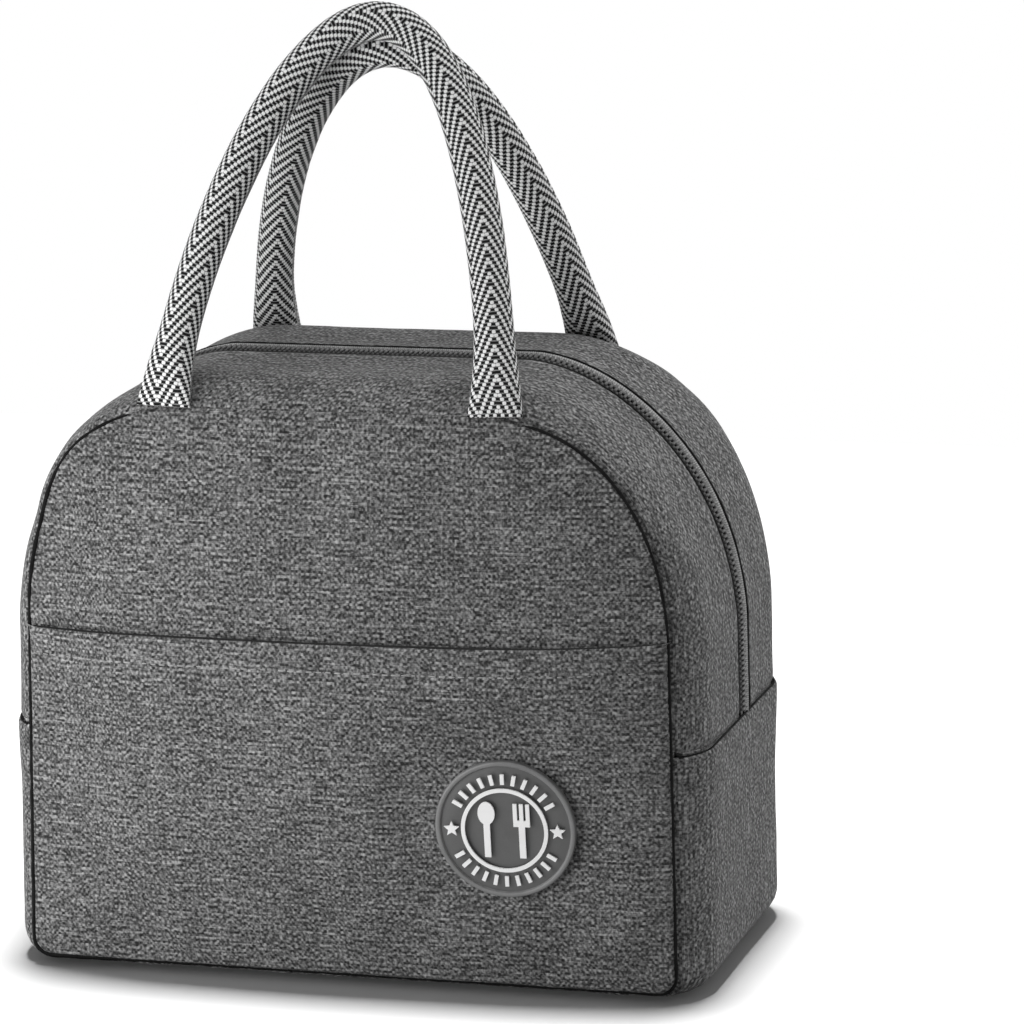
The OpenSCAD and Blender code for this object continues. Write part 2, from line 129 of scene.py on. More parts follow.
def lattice_noise(u: Array, v: Array, seed: int) -> Array:
    """Smooth value noise on a unit lattice.

    Args:
        u: First coordinate, in lattice cells.
        v: Second coordinate, in lattice cells.
        seed: Picks one of many independent fields.

    Returns:
        Values from -1 to 1, of the same shape as u.
    """
    iu, iv = np.floor(u).astype(np.int64), np.floor(v).astype(np.int64)
    fu, fv = u - iu, v - iv
    su, sv = fu * fu * (3 - 2 * fu), fv * fv * (3 - 2 * fv)

    def corner(di: int, dj: int) -> Array:
        """Pseudo-random value at one lattice corner.

        Args:
            di: Step along the first coordinate, 0 or 1.
            dj: Step along the second.

        Returns:
            Values from -1 to 1.
        """
        h = (iu + di) * 374761393 + (iv + dj) * 668265263 + seed * 2246822519
        h = (h ^ (h >> 13)) * 1274126177 & 0xFFFFFFFF
        h = (h ^ (h >> 16)) & 0xFFFF
        return h / 32767.5 - 1.0

    low = corner(0, 0) * (1 - su) + corner(1, 0) * su
    high = corner(0, 1) * (1 - su) + corner(1, 1) * su
    return low * (1 - sv) + high * sv


def fractal_noise(u: Array, v: Array, seed: int, octaves: int = 3) -> Array:
    """Sum of lattice_noise at doubling frequencies.

    Args:
        u: First coordinate, in cells of the first octave.
        v: Second coordinate, in cells of the first octave.
        seed: Seed of the first octave.
        octaves: Number of octaves.

    Returns:
        Values from about -1 to 1.
    """
    total, share, norm = np.zeros(np.broadcast(u, v).shape), 1.0, 0.0
    for k in range(octaves):
        total = total + share * lattice_noise(u * 2**k, v * 2**k, seed + 17 * k)
        norm += share
        share *= 0.5
    return total / norm


def smooth_step(x: Array, low: float, high: float) -> Array:
    """Smooth ramp from 0 at low to 1 at high."""
    t = np.clip((x - low) / (high - low), 0, 1)
    return t * t * (3 - 2 * t)


def graded(stop: float, first: float, ratio: float, widest: float) -> list[float]:
    """Distances from 0 to stop whose steps grow from first to widest.

    Args:
        stop: Last distance.
        first: First step.
        ratio: Growth of each step.
        widest: Largest step.

    Returns:
        The distances, 0 and stop included.
    """
    out, step = [0.0], first
    while out[-1] + step * 1.4 < stop:
        out.append(out[-1] + step)
        step = min(step * ratio, widest)
    return out + [stop]


# ---------------------------------------------------------------- the bag's form


@dataclass(frozen=True)
class BagForm:
    """Seam outline, panel crown and gusset profile that every layer follows."""

    half_w: float = 109 * MM
    height: float = 186.5 * MM
    half_d: float = 54 * MM
    seam_lift: float = 2 * MM
    corner: float = 7 * MM
    shoulder_w: float = 58 * MM
    shoulder_h: float = 74.5 * MM
    shoulder_power: float = 2.2
    panel_bulge: float = 7 * MM
    gusset_bulge: float = 8 * MM
    shoulder_pull: float = 0.6
    fold: float = 80 * MM
    pocket_top: float = 113 * MM
    pocket_gape: float = 3.4 * MM
    groove: float = 2.1 * MM
    groove_reach: float = 0.75 * MM
    slump: float = 4.2 * MM
    slack: float = 0.72
    soft_top: tuple[float, float, float, float] = (-74 * MM, -62 * MM, 56 * MM, 68 * MM)
    badge_x: float = 56 * MM
    badge_z: float = 57 * MM
    badge_flat: float = 24 * MM
    badge_clear: float = 46 * MM
    seam_samples: int = 700

    @cached_property
    def half_seam(self) -> tuple[Array, Array]:
        """Dense right half of the seam from top middle to bottom middle, with arc lengths.

        Returns:
            Rows of x, z and the outward normal in X and Z, and the length at each row.
        """
        a = np.linspace(90, 0, 600) * math.pi / 180
        c = np.cos(a).clip(0) ** (2 / self.shoulder_power)
        s = np.sin(a).clip(0) ** (2 / self.shoulder_power)
        top_x, side_z = self.half_w - self.shoulder_w, self.height - self.shoulder_h
        nx = c ** (self.shoulder_power - 1) / self.shoulder_w
        nz = s ** (self.shoulder_power - 1) / self.shoulder_h
        n = np.hypot(nx, nz)
        shoulder = np.stack([top_x + self.shoulder_w * c, side_z + self.shoulder_h * s, nx / n, nz / n], 1)
        b = np.linspace(0, -90, 40) * math.pi / 180
        cb, sb = np.cos(b), np.sin(b)
        low_x, low_z = self.half_w - self.corner, self.seam_lift + self.corner
        corner = np.stack([low_x + self.corner * cb, low_z + self.corner * sb, cb, sb], 1)
        points = np.vstack([[0, self.height, 0, 1], shoulder, corner[1:], [0, self.seam_lift, 0, -1]])
        step = np.hypot(np.diff(points[:, 0]), np.diff(points[:, 1]))
        return points, np.concatenate([[0], np.cumsum(step)])

    @property
    def half_length(self) -> float:
        """Length of the seam from the top middle to the bottom middle."""
        return float(self.half_seam[1][-1])

    def seam(self, s: Array) -> tuple[Array, Array, Array, Array]:
        """Seam points at signed lengths from the top middle, the right side positive.

        Args:
            s: Lengths along the seam. Beyond half_length they go on up the other side.

        Returns:
            x, z and the seam's outward normal in X and Z.
        """
        points, length = self.half_seam
        total = 2 * self.half_length
        s = np.mod(np.asarray(s, float) + total / 2, total) - total / 2
        x, z, nx, nz = (np.interp(np.abs(s), length, points[:, k]) for k in range(4))
        sign = np.where(s < 0, -1.0, 1.0)
        n = np.hypot(nx, nz)
        return x * sign, z, nx / n * sign, nz / n

    def length_at(self, z: float) -> float:
        """Seam length from the top middle down to a height on the straight side.

        Args:
            z: The height.

        Returns:
            The length.
        """
        points, length = self.half_seam
        side = points[:, 0] > 0.9 * self.half_w
        return float(np.interp(-z, -points[side, 1], length[side]))

    def half_width_at(self, z: Array) -> Array:
        """Half width of the panel at a height.

        Args:
            z: The height.

        Returns:
            The half width.
        """
        points, _ = self.half_seam
        inner = points[1:-1]
        return np.interp(-np.asarray(z, float), -inner[:, 1], inner[:, 0])

    def seam_distance(self, x: Array, z: Array) -> Array:
        """Distance from points in the panel's plane to the seam.

        Args:
            x: Points across the panel.
            z: Heights of the same points.

        Returns:
            The distances.
        """
        xs, zs, _, _ = self.seam(np.linspace(-self.half_length, self.half_length, self.seam_samples))
        d = np.full(x.shape, np.inf)
        for a, b in zip(xs, zs):
            d = np.minimum(d, (x - a) ** 2 + (z - b) ** 2)
        return np.sqrt(d)

    @cached_property
    def face_area(self) -> float:
        """Area inside the seam, laid flat."""
        xs, zs, _, _ = self.seam(np.linspace(-self.half_length, self.half_length, self.seam_samples))
        return float(abs(np.sum(xs * np.roll(zs, -1) - zs * np.roll(xs, -1))) / 2)

    def puff(self, x: Array, z: Array) -> Array:
        """How far the stuffed panel stands proud of the seam plane.

        Args:
            x: Points across the panel.
            z: Heights of the same points.

        Returns:
            The heights over the seam plane.
        """
        t = np.abs(x) / np.maximum(self.half_width_at(z), 1e-4)
        mid = (self.height + self.seam_lift) / 2
        w = np.abs((z - mid) / (self.height - mid))
        return self.panel_bulge * (1 - np.clip(t, 0, 1) ** 2.2) * (1 - np.clip(w, 0, 1) ** 2.5)

    def gape(self, x: Array, z: Array) -> Array:
        """How far the pocket stands off the panel behind it.

        Args:
            x: Points across the panel.
            z: Heights of the same points.

        Returns:
            The distances from the panel.
        """
        t = np.clip(np.abs(x) / self.half_w, 0, 1)
        v = np.clip((z - self.seam_lift) / (self.pocket_top - self.seam_lift), 0, 1)
        return self.pocket_gape * ((1 - t**2.5) * v**2 + 0.85 * (1 - t**40) * t**2 * v**6)

    def drawn(self, x: Array, z: Array) -> Array:
        """How hard the seam is drawn in: least along the top, between the handles.

        Args:
            x: Points along the seam, across the bag.
            z: Heights of the same points.

        Returns:
            Shares of the full depth, up to 1.
        """
        left, left_end, right_end, right = self.soft_top
        between = smooth_step(x, left, left_end) * smooth_step(-x, -right, -right_end)
        ease = 0.5 + 0.3 * smooth_step(x, -25 * MM, 10 * MM)
        return 1 - ease * between * smooth_step(z, 168 * MM, 176 * MM)

    def gusset_rise(self, nx: Array, nz: Array) -> Array:
        """How far the gusset stands proud of the seam, for a seam normal.

        Args:
            nx: The normal's part in X.
            nz: The normal's part in Z.

        Returns:
            The heights over the seam.
        """
        low = self.gusset_bulge * nx * nx + self.seam_lift * nz * nz
        high = self.gusset_bulge * (1 - self.shoulder_pull * np.abs(2 * nx * nz))
        return np.where(nz < 0, low, high)

    def slumped(self, points: Array) -> Array:
        """Lets the unfilled left front corner of the bag sink inwards a little.

        Args:
            points: Points of a piece, N by 3.

        Returns:
            The points after the bag has settled.
        """
        x, y, z = points[..., 0], points[..., 1], points[..., 2]
        level = np.interp(z, np.array([8, 60, 110, 148, 174]) * MM, [0, 0.5, 1, 1, 0])
        share = level * smooth_step(-y, 12 * MM, 36 * MM) * smooth_step(-x, 66 * MM, 100 * MM)
        out = points.copy()
        out[..., 0] += self.slump * share
        return out

    def gusset_point(self, s: Array, r: Array, side: Side, lift: Array) -> Array:
        """Points of the gusset's surface.

        Args:
            s: Length along the seam.
            r: Distance from the seam towards the middle of the gusset.
            side: The seam that r is measured from.
            lift: Height over the gusset's outer face.

        Returns:
            Points, with the shape of s and r broadcast, and a last axis of 3.
        """
        s, r = np.broadcast_arrays(np.asarray(s, float), np.asarray(r, float))
        x, z, nx, nz = self.seam(s)
        near = np.clip(np.minimum(r, 2 * self.half_d - r), 0, None)
        share = np.minimum(1, 1.12 * (1 - (1 - np.minimum(near / self.half_d, 1)) ** 7))
        n = self.gusset_rise(nx, nz) * share + lift
        return np.stack([x + nx * n, side.value * (self.half_d - r), z + nz * n], -1)


FORM = BagForm()


# ---------------------------------------------------------------- mesh helpers


def piece_name(name: str) -> str:
    """Name of a made piece, marked as sewn where a solid has the plain name."""
    solid = bpy.data.objects.get(name)
    return f"{name}_sewn" if solid is not None and "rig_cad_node" in solid else name


def mesh_object(
    name: str, points: Array, faces: Sequence[Sequence[int]], uv: Optional[Array] = None
) -> bpy.types.Object:
    """Makes a smooth-shaded mesh object.

    Args:
        name: Name of the object.
        points: Vertices, N by 3.
        faces: Vertex indices of each face.
        uv: Per-vertex UV in metres, N by 2.

    Returns:
        The object, linked to the scene.
    """
    name = piece_name(name)
    mesh = bpy.data.meshes.new(name)
    places = FORM.slumped(np.asarray(points, float)).tolist()
    mesh.from_pydata(places, [], [tuple(map(int, face)) for face in faces])
    mesh.polygons.foreach_set("use_smooth", [True] * len(mesh.polygons))
    if uv is not None:
        layer = mesh.uv_layers.new(name="UVMap")
        index = np.empty(len(mesh.loops), np.int64)
        mesh.loops.foreach_get("vertex_index", index)
        layer.data.foreach_set("uv", np.asarray(uv, float)[index].ravel())
    mesh.update()
    obj = bpy.data.objects.new(name, mesh)
    bpy.context.scene.collection.objects.link(obj)
    return obj


def grid_faces(
    rows: int, cols: int, wrap: bool = False, base: int = 0, flip: bool = False
) -> list[tuple[int, ...]]:
    """Quads of a grid of vertices stored row by row.

    Args:
        rows: Number of rows.
        cols: Number of columns.
        wrap: Joins the last column to the first.
        base: Index of the grid's first vertex.
        flip: Turns the faces over.

    Returns:
        The quads.
    """
    out = []
    for i in range(rows - 1):
        near, far = base + i * cols, base + (i + 1) * cols
        for k in range(cols if wrap else cols - 1):
            m = (k + 1) % cols
            quad = (near + k, near + m, far + m, far + k)
            out.append(quad[::-1] if flip else quad)
    return out


def end_caps(rows: int, cols: int) -> list[tuple[int, ...]]:
    """The two faces that close a tube of rings stored row by row."""
    return [tuple(range(cols)), tuple((rows - 1) * cols + k for k in range(cols - 1, -1, -1))]


def fix_normals(obj: bpy.types.Object) -> bpy.types.Object:
    """Turns every face of a closed mesh outwards.

    Args:
        obj: The object.

    Returns:
        The same object.
    """
    bm = bmesh.new()
    bm.from_mesh(obj.data)
    bmesh.ops.recalc_face_normals(bm, faces=bm.faces)
    bm.to_mesh(obj.data)
    bm.free()
    return obj


def closed_sheet(name: str, outer: Array, inner: Array, uv: Array) -> bpy.types.Object:
    """A closed thin piece between two grids of points of one size.

    Args:
        name: Name of the object.
        outer: Outer face, rows by columns by 3.
        inner: Inner face, of the same size.
        uv: UV in metres, rows by columns by 2.

    Returns:
        The object.
    """
    rows, cols = outer.shape[:2]
    count = rows * cols
    faces = grid_faces(rows, cols) + grid_faces(rows, cols, base=count, flip=True)
    edge = list(range(cols))
    edge += [i * cols + cols - 1 for i in range(1, rows)]
    edge += [(rows - 1) * cols + k for k in range(cols - 2, -1, -1)]
    edge += [i * cols for i in range(rows - 2, 0, -1)]
    for a, b in zip(edge, edge[1:] + edge[:1]):
        faces.append((a, a + count, b + count, b))
    points = np.vstack([outer.reshape(-1, 3), inner.reshape(-1, 3)])
    flat = uv.reshape(-1, 2)
    return fix_normals(mesh_object(name, points, faces, np.vstack([flat, flat])))


def swept_strip(name: str, sections: Array, uv: Array) -> bpy.types.Object:
    """A closed strip swept through closed cross-sections.

    Args:
        name: Name of the object.
        sections: Stations by section points by 3, each section a closed loop.
        uv: UV in metres for each of those points.

    Returns:
        The object.
    """
    rows, cols = sections.shape[:2]
    faces = grid_faces(rows, cols, wrap=True) + end_caps(rows, cols)
    return fix_normals(mesh_object(name, sections.reshape(-1, 3), faces, uv.reshape(-1, 2)))


def face_middles(obj: bpy.types.Object) -> Array:
    """Middle of every face of a mesh object.

    Args:
        obj: The object.

    Returns:
        The middles, one row of three for each face.
    """
    out = np.empty(len(obj.data.polygons) * 3)
    obj.data.polygons.foreach_get("center", out)
    return out.reshape(-1, 3)


def applied(obj: bpy.types.Object) -> bpy.types.Object:
    """Puts the result of an object's modifiers into its mesh.

    Args:
        obj: The object.

    Returns:
        The same object.
    """
    if obj.modifiers:
        graph = bpy.context.evaluated_depsgraph_get()
        mesh = bpy.data.meshes.new_from_object(obj.evaluated_get(graph))
        mesh.name = obj.data.name
        obj.modifiers.clear()
        obj.data = mesh
    return obj


def subdivided(obj: bpy.types.Object) -> bpy.types.Object:
    """Smooths an object with one level of subdivision, applied to its mesh.

    Args:
        obj: The object.

    Returns:
        The same object.
    """
    modifier = obj.modifiers.new("smooth", "SUBSURF")
    modifier.levels = modifier.render_levels = 1
    modifier.uv_smooth = "PRESERVE_CORNERS"
    return applied(obj)


def merged(parts: Sequence[tuple[Array, list]]) -> tuple[Array, list]:
    """Joins several vertex and face lists into one.

    Args:
        parts: Vertices and faces of each part.

    Returns:
        All vertices, and all faces.
    """
    points, faces, base = [], [], 0
    for p, f in parts:
        points.append(p)
        faces += [tuple(i + base for i in face) for face in f]
        base += len(p)
    return np.vstack(points), faces


def hold(obj: bpy.types.Object, lifts: bool) -> bpy.types.Object:
    """Bakes the place of a piece that reaches over the fold in the front into its mesh, or keeps the piece
    on the standing bag.

    Args:
        obj: The piece.
        lifts: True for a piece that reaches over the fold in the front.

    Returns:
        The same piece.
    """
    if lifts:
        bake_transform(obj)
    else:
        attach(obj, Body.BAG.value)
    return obj


@dataclass(frozen=True)
class Cloth:
    """How a sewn cloth behaves while it settles, and the most that any point of it may move."""

    pressure: float = 2.0
    growth: float = 0.004
    tension: float = 20.0
    bending: float = 2.0
    mass: float = 0.35
    frames: int = 24
    quality: int = 6
    shear: float = 0.6
    cap: float = 4.0 * MM
    lattice: float = 4.5 * MM
    uneven: float = 0.7 * MM
    border: float = 4 * MM

    def settle(self, grid: Array, pinned: Array) -> Array:
        """Lets a grid of cloth settle under pressure, with gravity turned off.

        Args:
            grid: Rows by columns by 3.
            pinned: True where the cloth is sewn down.

        Returns:
            How far each point moved, cut down to the cap, rows by columns by 3.
        """
        rows, cols = grid.shape[:2]
        obj = mesh_object("settling", grid.reshape(-1, 3), grid_faces(rows, cols))
        group = obj.vertex_groups.new(name="sewn")
        group.add([int(i) for i in np.flatnonzero(pinned.ravel())], 1.0, "REPLACE")
        modifier = obj.modifiers.new("cloth", "CLOTH")
        s = modifier.settings
        s.quality = self.quality
        s.mass = self.mass
        s.tension_stiffness = s.compression_stiffness = self.tension
        s.shear_stiffness = self.tension * self.shear
        s.bending_stiffness = self.bending
        s.vertex_group_mass = "sewn"
        s.shrink_min = -self.growth
        s.use_pressure = True
        s.uniform_pressure_force = self.pressure
        s.effector_weights.gravity = 0.0
        modifier.collision_settings.use_collision = False
        scene = bpy.context.scene
        modifier.point_cache.frame_start, modifier.point_cache.frame_end = 1, self.frames
        for frame in range(1, self.frames + 1):
            scene.frame_set(frame)
        graph = bpy.context.evaluated_depsgraph_get()
        settled = obj.evaluated_get(graph)
        out = np.empty(rows * cols * 3)
        settled.data.vertices.foreach_get("co", out)
        scene.frame_set(1)
        bpy.data.objects.remove(obj, do_unlink=True)
        move = out.reshape(rows, cols, 3) - FORM.slumped(grid)
        size = np.linalg.norm(move, axis=-1, keepdims=True)
        log.info("cloth moved by up to %.1f mm, capped at %.1f mm", size.max() / MM, self.cap / MM)
        return move * np.minimum(1, self.cap / np.maximum(size, 1e-9))


class Swell:
    """How far a sewn face of the bag stands out, read from cloth that has settled over a lattice."""

    mouth: float = 5 * MM

    def __init__(
        self, form: BagForm, cloth: Cloth, top: float, seed: int, under: Optional["Swell"] = None
    ) -> None:
        """Args:
            form: Shape of the bag.
            cloth: The cloth.
            top: Height of the lattice's top edge.
            seed: Seed of the unevenness that the cloth starts with.
            under: The face that this one lies on, for a pocket.
        """
        self.form, self.top, self.under = form, top, under
        columns, rows = round(2 * form.half_w / cloth.lattice) + 1, round(top / cloth.lattice)
        x, z = np.meshgrid(np.linspace(-form.half_w, form.half_w, columns), np.linspace(0, top, rows))
        self.rise = 0 * x if under else (1 - form.slack) * form.puff(x, z)
        edge = form.seam_distance(x, z)
        waves = fractal_noise(x / (40 * MM), z / (33 * MM), seed)
        uneven = cloth.uneven * waves * smooth_step(edge, cloth.border, 25 * MM)
        start = self.base(x, z) + uneven
        held = edge < cloth.border
        if under:
            held |= z > top - self.mouth
        moved = -cloth.settle(np.stack([x, -start, z], -1), held)[..., 1] + uneven
        self.rise = np.maximum(moved, 0) if under else moved

    def base(self, x: Array, z: Array) -> Array:
        """Height before the cloth settles.

        Args:
            x: Points across the panel.
            z: Heights of the same points.

        Returns:
            The heights over the flat face.
        """
        if self.under:
            return self.under.at(x, z) + self.form.gape(x, z)
        return self.form.slack * self.form.puff(x, z)

    def at(self, x: Array, z: Array) -> Array:
        """Height over the flat face, left as planned round the badge so that the badge lies flat.

        Args:
            x: Points across the panel.
            z: Heights of the same points.

        Returns:
            The heights.
        """
        planned = self.form.puff(x, z) + (self.form.gape(x, z) if self.under else 0)
        rows, cols = self.rise.shape
        r = np.clip(z / self.top, 0, 1) * (rows - 1)
        c = np.clip(0.5 + x / (2 * self.form.half_w), 0, 1) * (cols - 1)
        i, k = np.minimum(r.astype(int), rows - 2), np.minimum(c.astype(int), cols - 2)
        a, b = r - i, c - k
        top = self.rise[i, k] * (1 - b) + self.rise[i, k + 1] * b
        low = self.rise[i + 1, k] * (1 - b) + self.rise[i + 1, k + 1] * b
        settled = self.base(x, z) + top * (1 - a) + low * a
        from_badge = np.hypot(x - self.form.badge_x, z - self.form.badge_z)
        far = smooth_step(from_badge, self.form.badge_flat, self.form.badge_clear)
        return planned + (settled - planned) * far


# ---------------------------------------------------------------- shader graphs


class Value:
    """A shader output that takes part in sums: each operator adds a Math node."""

    def __init__(self, graph: "Graph", socket: bpy.types.NodeSocket) -> None:
        """Keeps the output and the graph that it belongs to."""
        self.graph, self.socket = graph, socket

    def __add__(self, other: object) -> "Value":
        """Sum."""
        return self.graph.math("ADD", self, other)

    def __sub__(self, other: object) -> "Value":
        """Difference."""
        return self.graph.math("SUBTRACT", self, other)

    def __mul__(self, other: object) -> "Value":
        """Product."""
        return self.graph.math("MULTIPLY", self, other)

    def __truediv__(self, other: object) -> "Value":
        """Quotient."""
        return self.graph.math("DIVIDE", self, other)


class Graph:
    """Short calls for putting nodes into one node tree."""

    def __init__(self, tree: bpy.types.NodeTree) -> None:
        """Keeps the tree that nodes go into."""
        self.tree = tree

    def put(self, socket: bpy.types.NodeSocket, value: object) -> None:
        """Links a value to a socket, or sets the socket to a plain number or colour.

        Args:
            socket: The socket.
            value: What goes into it.
        """
        if isinstance(value, Value):
            self.tree.links.new(value.socket, socket)
        else:
            socket.default_value = value

    def node(
        self, kind: str, inputs: Optional[dict[object, object]] = None, **settings: object
    ) -> bpy.types.Node:
        """Adds a node.

        Args:
            kind: Type of the node.
            inputs: What goes into each of its inputs, by name or number.
            **settings: The node's properties.

        Returns:
            The node.
        """
        node = self.tree.nodes.new(kind)
        for key, value in settings.items():
            setattr(node, key, value)
        for key, value in (inputs or {}).items():
            self.put(node.inputs[key], value)
        return node

    def take(self, node: bpy.types.Node, key: object = 0) -> Value:
        """One of a node's outputs, as a value."""
        return Value(self, node.outputs[key])

    def math(self, operation: str, *values: object) -> Value:
        """Result of a Math node."""
        return self.take(self.node("ShaderNodeMath", dict(enumerate(values)), operation=operation))

    def sine(self, value: object) -> Value:
        """Sine of an angle in radians."""
        return self.math("SINE", value)

    def floor(self, value: object) -> Value:
        """Whole number at or below a value."""
        return self.math("FLOOR", value)

    def ramp(self, value: object, low: float, high: float, start: object = 0.0, stop: object = 1.0) -> Value:
        """Smooth ramp of a value.

        Args:
            value: The value.
            low: Value at which the ramp begins.
            high: Value at which it ends.
            start: Result below the ramp.
            stop: Result above it.

        Returns:
            The result.
        """
        inputs = {"Value": value, "From Min": low, "From Max": high, "To Min": start, "To Max": stop}
        node = self.node("ShaderNodeMapRange", inputs, interpolation_type="SMOOTHSTEP")
        return self.take(node, "Result")

    def vector(self, operation: str, vector: Value, other: object) -> Value:
        """Result of a Vector Math node with two inputs."""
        return self.take(self.node("ShaderNodeVectorMath", {0: vector, 1: other}, operation=operation))

    def noise(self, vector: Value, detail: float = 2.0, roughness: float = 0.5) -> Value:
        """Noise from 0 to 1 with cells of about one unit.

        Args:
            vector: Where the noise is read.
            detail: Number of finer octaves.
            roughness: Strength of each octave against the one before.

        Returns:
            The noise.
        """
        inputs = {"Vector": vector, "Scale": 1.0, "Detail": detail, "Roughness": roughness}
        return self.take(self.node("ShaderNodeTexNoise", inputs, noise_dimensions="3D"))

    def cells(self, vector: Value, feature: str) -> Value:
        """Distance in a pattern of cells of about one unit.

        Args:
            vector: Where the pattern is read.
            feature: Which distance: to a cell's middle (F1) or to its edge.

        Returns:
            The distance.
        """
        node = self.node("ShaderNodeTexVoronoi", {"Vector": vector, "Scale": 1.0}, feature=feature)
        return self.take(node, "Distance")

    def joined(self, x: Value, y: Value) -> Value:
        """A vector from its first two components."""
        return self.take(self.node("ShaderNodeCombineXYZ", {0: x, 1: y}))

    def split(self, vector: Value) -> tuple[Value, Value]:
        """First two components of a vector."""
        node = self.node("ShaderNodeSeparateXYZ", {0: vector})
        return self.take(node, 0), self.take(node, 1)

    def blend(self, share: object, low: object, high: object) -> Value:
        """Colour between two colours."""
        return self.take(self.node("ShaderNodeMix", {0: share, 6: low, 7: high}, data_type="RGBA"), 2)


class Effect(Enum):
    """The shader effects that finishes share."""

    HEATHER = "heather_canvas"
    HERRINGBONE = "herringbone_webbing"
    RIBBED = "ribbed_tape"
    CRINKLE = "crinkled_film"
    CELLS = "cell_foam"
    MOULDED = "moulded_surface"


class Surface(Graph):
    """The node group of one effect: from a place to a colour, a roughness and a height."""

    def __init__(self, effect: Effect, **more: float) -> None:
        """Starts the group.

        Args:
            effect: The effect.
            **more: Name and usual value of each input that only this effect has.
        """
        super().__init__(bpy.data.node_groups.new(effect.value, "ShaderNodeTree"))
        shared = {"Place": (0.0, 0.0, 0.0), "Dark": (0.02, 0.02, 0.02, 1.0), "Light": (0.5, 0.5, 0.5, 1.0)}
        for key, value in {**shared, **more}.items():
            kind = "Float" if isinstance(value, float) else "Color" if len(value) == 4 else "Vector"
            self._socket(key, "INPUT", kind).default_value = value
        for key, kind in (("Color", "Color"), ("Roughness", "Float"), ("Height", "Float")):
            self._socket(key, "OUTPUT", kind)
        self.source = self.tree.nodes.new("NodeGroupInput")
        self.place = self.take(self.source, "Place")

    def _socket(self, name: str, way: str, kind: str) -> bpy.types.NodeTreeInterfaceSocket:
        """Adds an input or an output to the group."""
        return self.tree.interface.new_socket(name=name, in_out=way, socket_type=f"NodeSocket{kind}")

    def grain(self, scale: Sequence[float], detail: float = 2.0, roughness: float = 0.5) -> Value:
        """Noise over the place, with its own number of cells in each metre of every axis."""
        return self.noise(self.vector("MULTIPLY", self.place, scale), detail, roughness)

    def give(self, tone: Value, roughness: Value, height: Value) -> bpy.types.NodeTree:
        """Sets what the group gives out.

        Args:
            tone: 0 where the colour is the dark one, 1 where it's the light one.
            roughness: The roughness.
            height: The height, for a bump.

        Returns:
            The finished group.
        """
        colour = self.blend(tone, self.take(self.source, "Dark"), self.take(self.source, "Light"))
        self.node("NodeGroupOutput", {"Color": colour, "Roughness": roughness, "Height": height})
        return self.tree


def heather() -> bpy.types.NodeTree:
    """Melange canvas: flecked yarns and longer slubs in an uneven plain weave.

    Returns:
        The node group.
    """
    warp_gap, weft_gap, stretch = 0.81 * MM, 0.88 * MM, 760.0
    s = Surface(Effect.HEATHER)
    u, v = s.split(s.place)
    row, column = s.floor(v / weft_gap), s.floor(u / warp_gap)
    fleck = s.grain((820, 980, 1), 1.0, 0.55)
    weft_yarn = s.noise(s.joined(u * stretch, row * 1.37), 1.0)
    next_yarn = s.noise(s.joined(u * stretch, (row + 1.0) * 1.37), 1.0)
    warp_yarn = s.noise(s.joined(column * 1.73, v * stretch), 1.0)
    slub = s.grain((130, 1000, 1), 1.5)
    mottle = s.grain((38, 38, 1))
    end = s.grain((260, 90, 1), 1.0) * 7.0
    moved = s.vector("ADD", s.place, (0.5, 0.5, 0.0))
    pick = s.noise(s.vector("MULTIPLY", moved, (60, 330, 1)), 1.0) * 9.0
    warp = s.math("COSINE", u * (math.pi / warp_gap) + end)
    weft = s.math("COSINE", v * (2 * math.pi / (1.72 * MM)) + pick)
    weave = (warp + 0.5) * (weft + 0.5)
    yarn = weft_yarn * 0.75 - next_yarn * 0.3 + (warp_yarn * 0.35 + fleck * 0.4) + slub * 0.26
    yarn = yarn + s.ramp(s.grain((60, 1150, 1), 1.0), 0.54, 0.76, 0.0, 0.13)
    yarn = yarn + s.ramp(s.grain((1150, 70, 1), 1.0), 0.56, 0.76, 0.0, 0.07)
    # weave lightens the yarn crowns and darkens the crossings a little: painted shade.
    yarn = yarn + (mottle - 0.5) * 0.08 + weave * 0.05
    tone = s.math("POWER", s.ramp(yarn, 0.41, 1.17), 1.7)
    return s.give(tone, s.ramp(fleck, 0.3, 0.7, 0.92, 0.78), weave * 0.16 + yarn)


def herringbone() -> bpy.types.NodeTree:
    """Two-tone herringbone webbing, woven along the first axis, each light float painted darker at its edges
    as shade between floats.

    Returns:
        The node group.
    """
    pick, end, column, offset = 1.15 * MM, 0.65 * MM, 6.5 * MM, 4.95 * MM
    repeat, dark = 4.0, 2.05
    s = Surface(Effect.HERRINGBONE)
    u, v = s.split(s.place)
    run = (u + (s.grain((90, 130, 1)) - 0.5) * (0.9 * MM)) / pick
    fold = s.math("PINGPONG", v - offset, column)
    step = s.math("FLOORED_MODULO", fold / end + s.floor(run), repeat)
    part = s.math("FRACT", step / dark)
    # bead darkens each light float towards its edges: painted shade between the floats.
    bead = s.ramp(s.sine(part * math.pi) * s.sine(s.math("FRACT", run) * math.pi), 0.0, 0.22)
    light = s.math("LESS_THAN", step, dark)
    gap = s.math("SUBTRACT", 1.0, light)
    tick = gap * s.ramp(s.math("PINGPONG", run, 0.5), 0.0, 0.22, 0.55, 0.0)
    fuzz = s.grain((2600, 2600, 1), 2.0, 0.6)
    tone = light * bead + tick + (fuzz - 0.5) * 0.08
    return s.give(tone, s.ramp(fuzz, 0.3, 0.7, 0.6, 0.85), bead * 0.6 + light * 0.25)


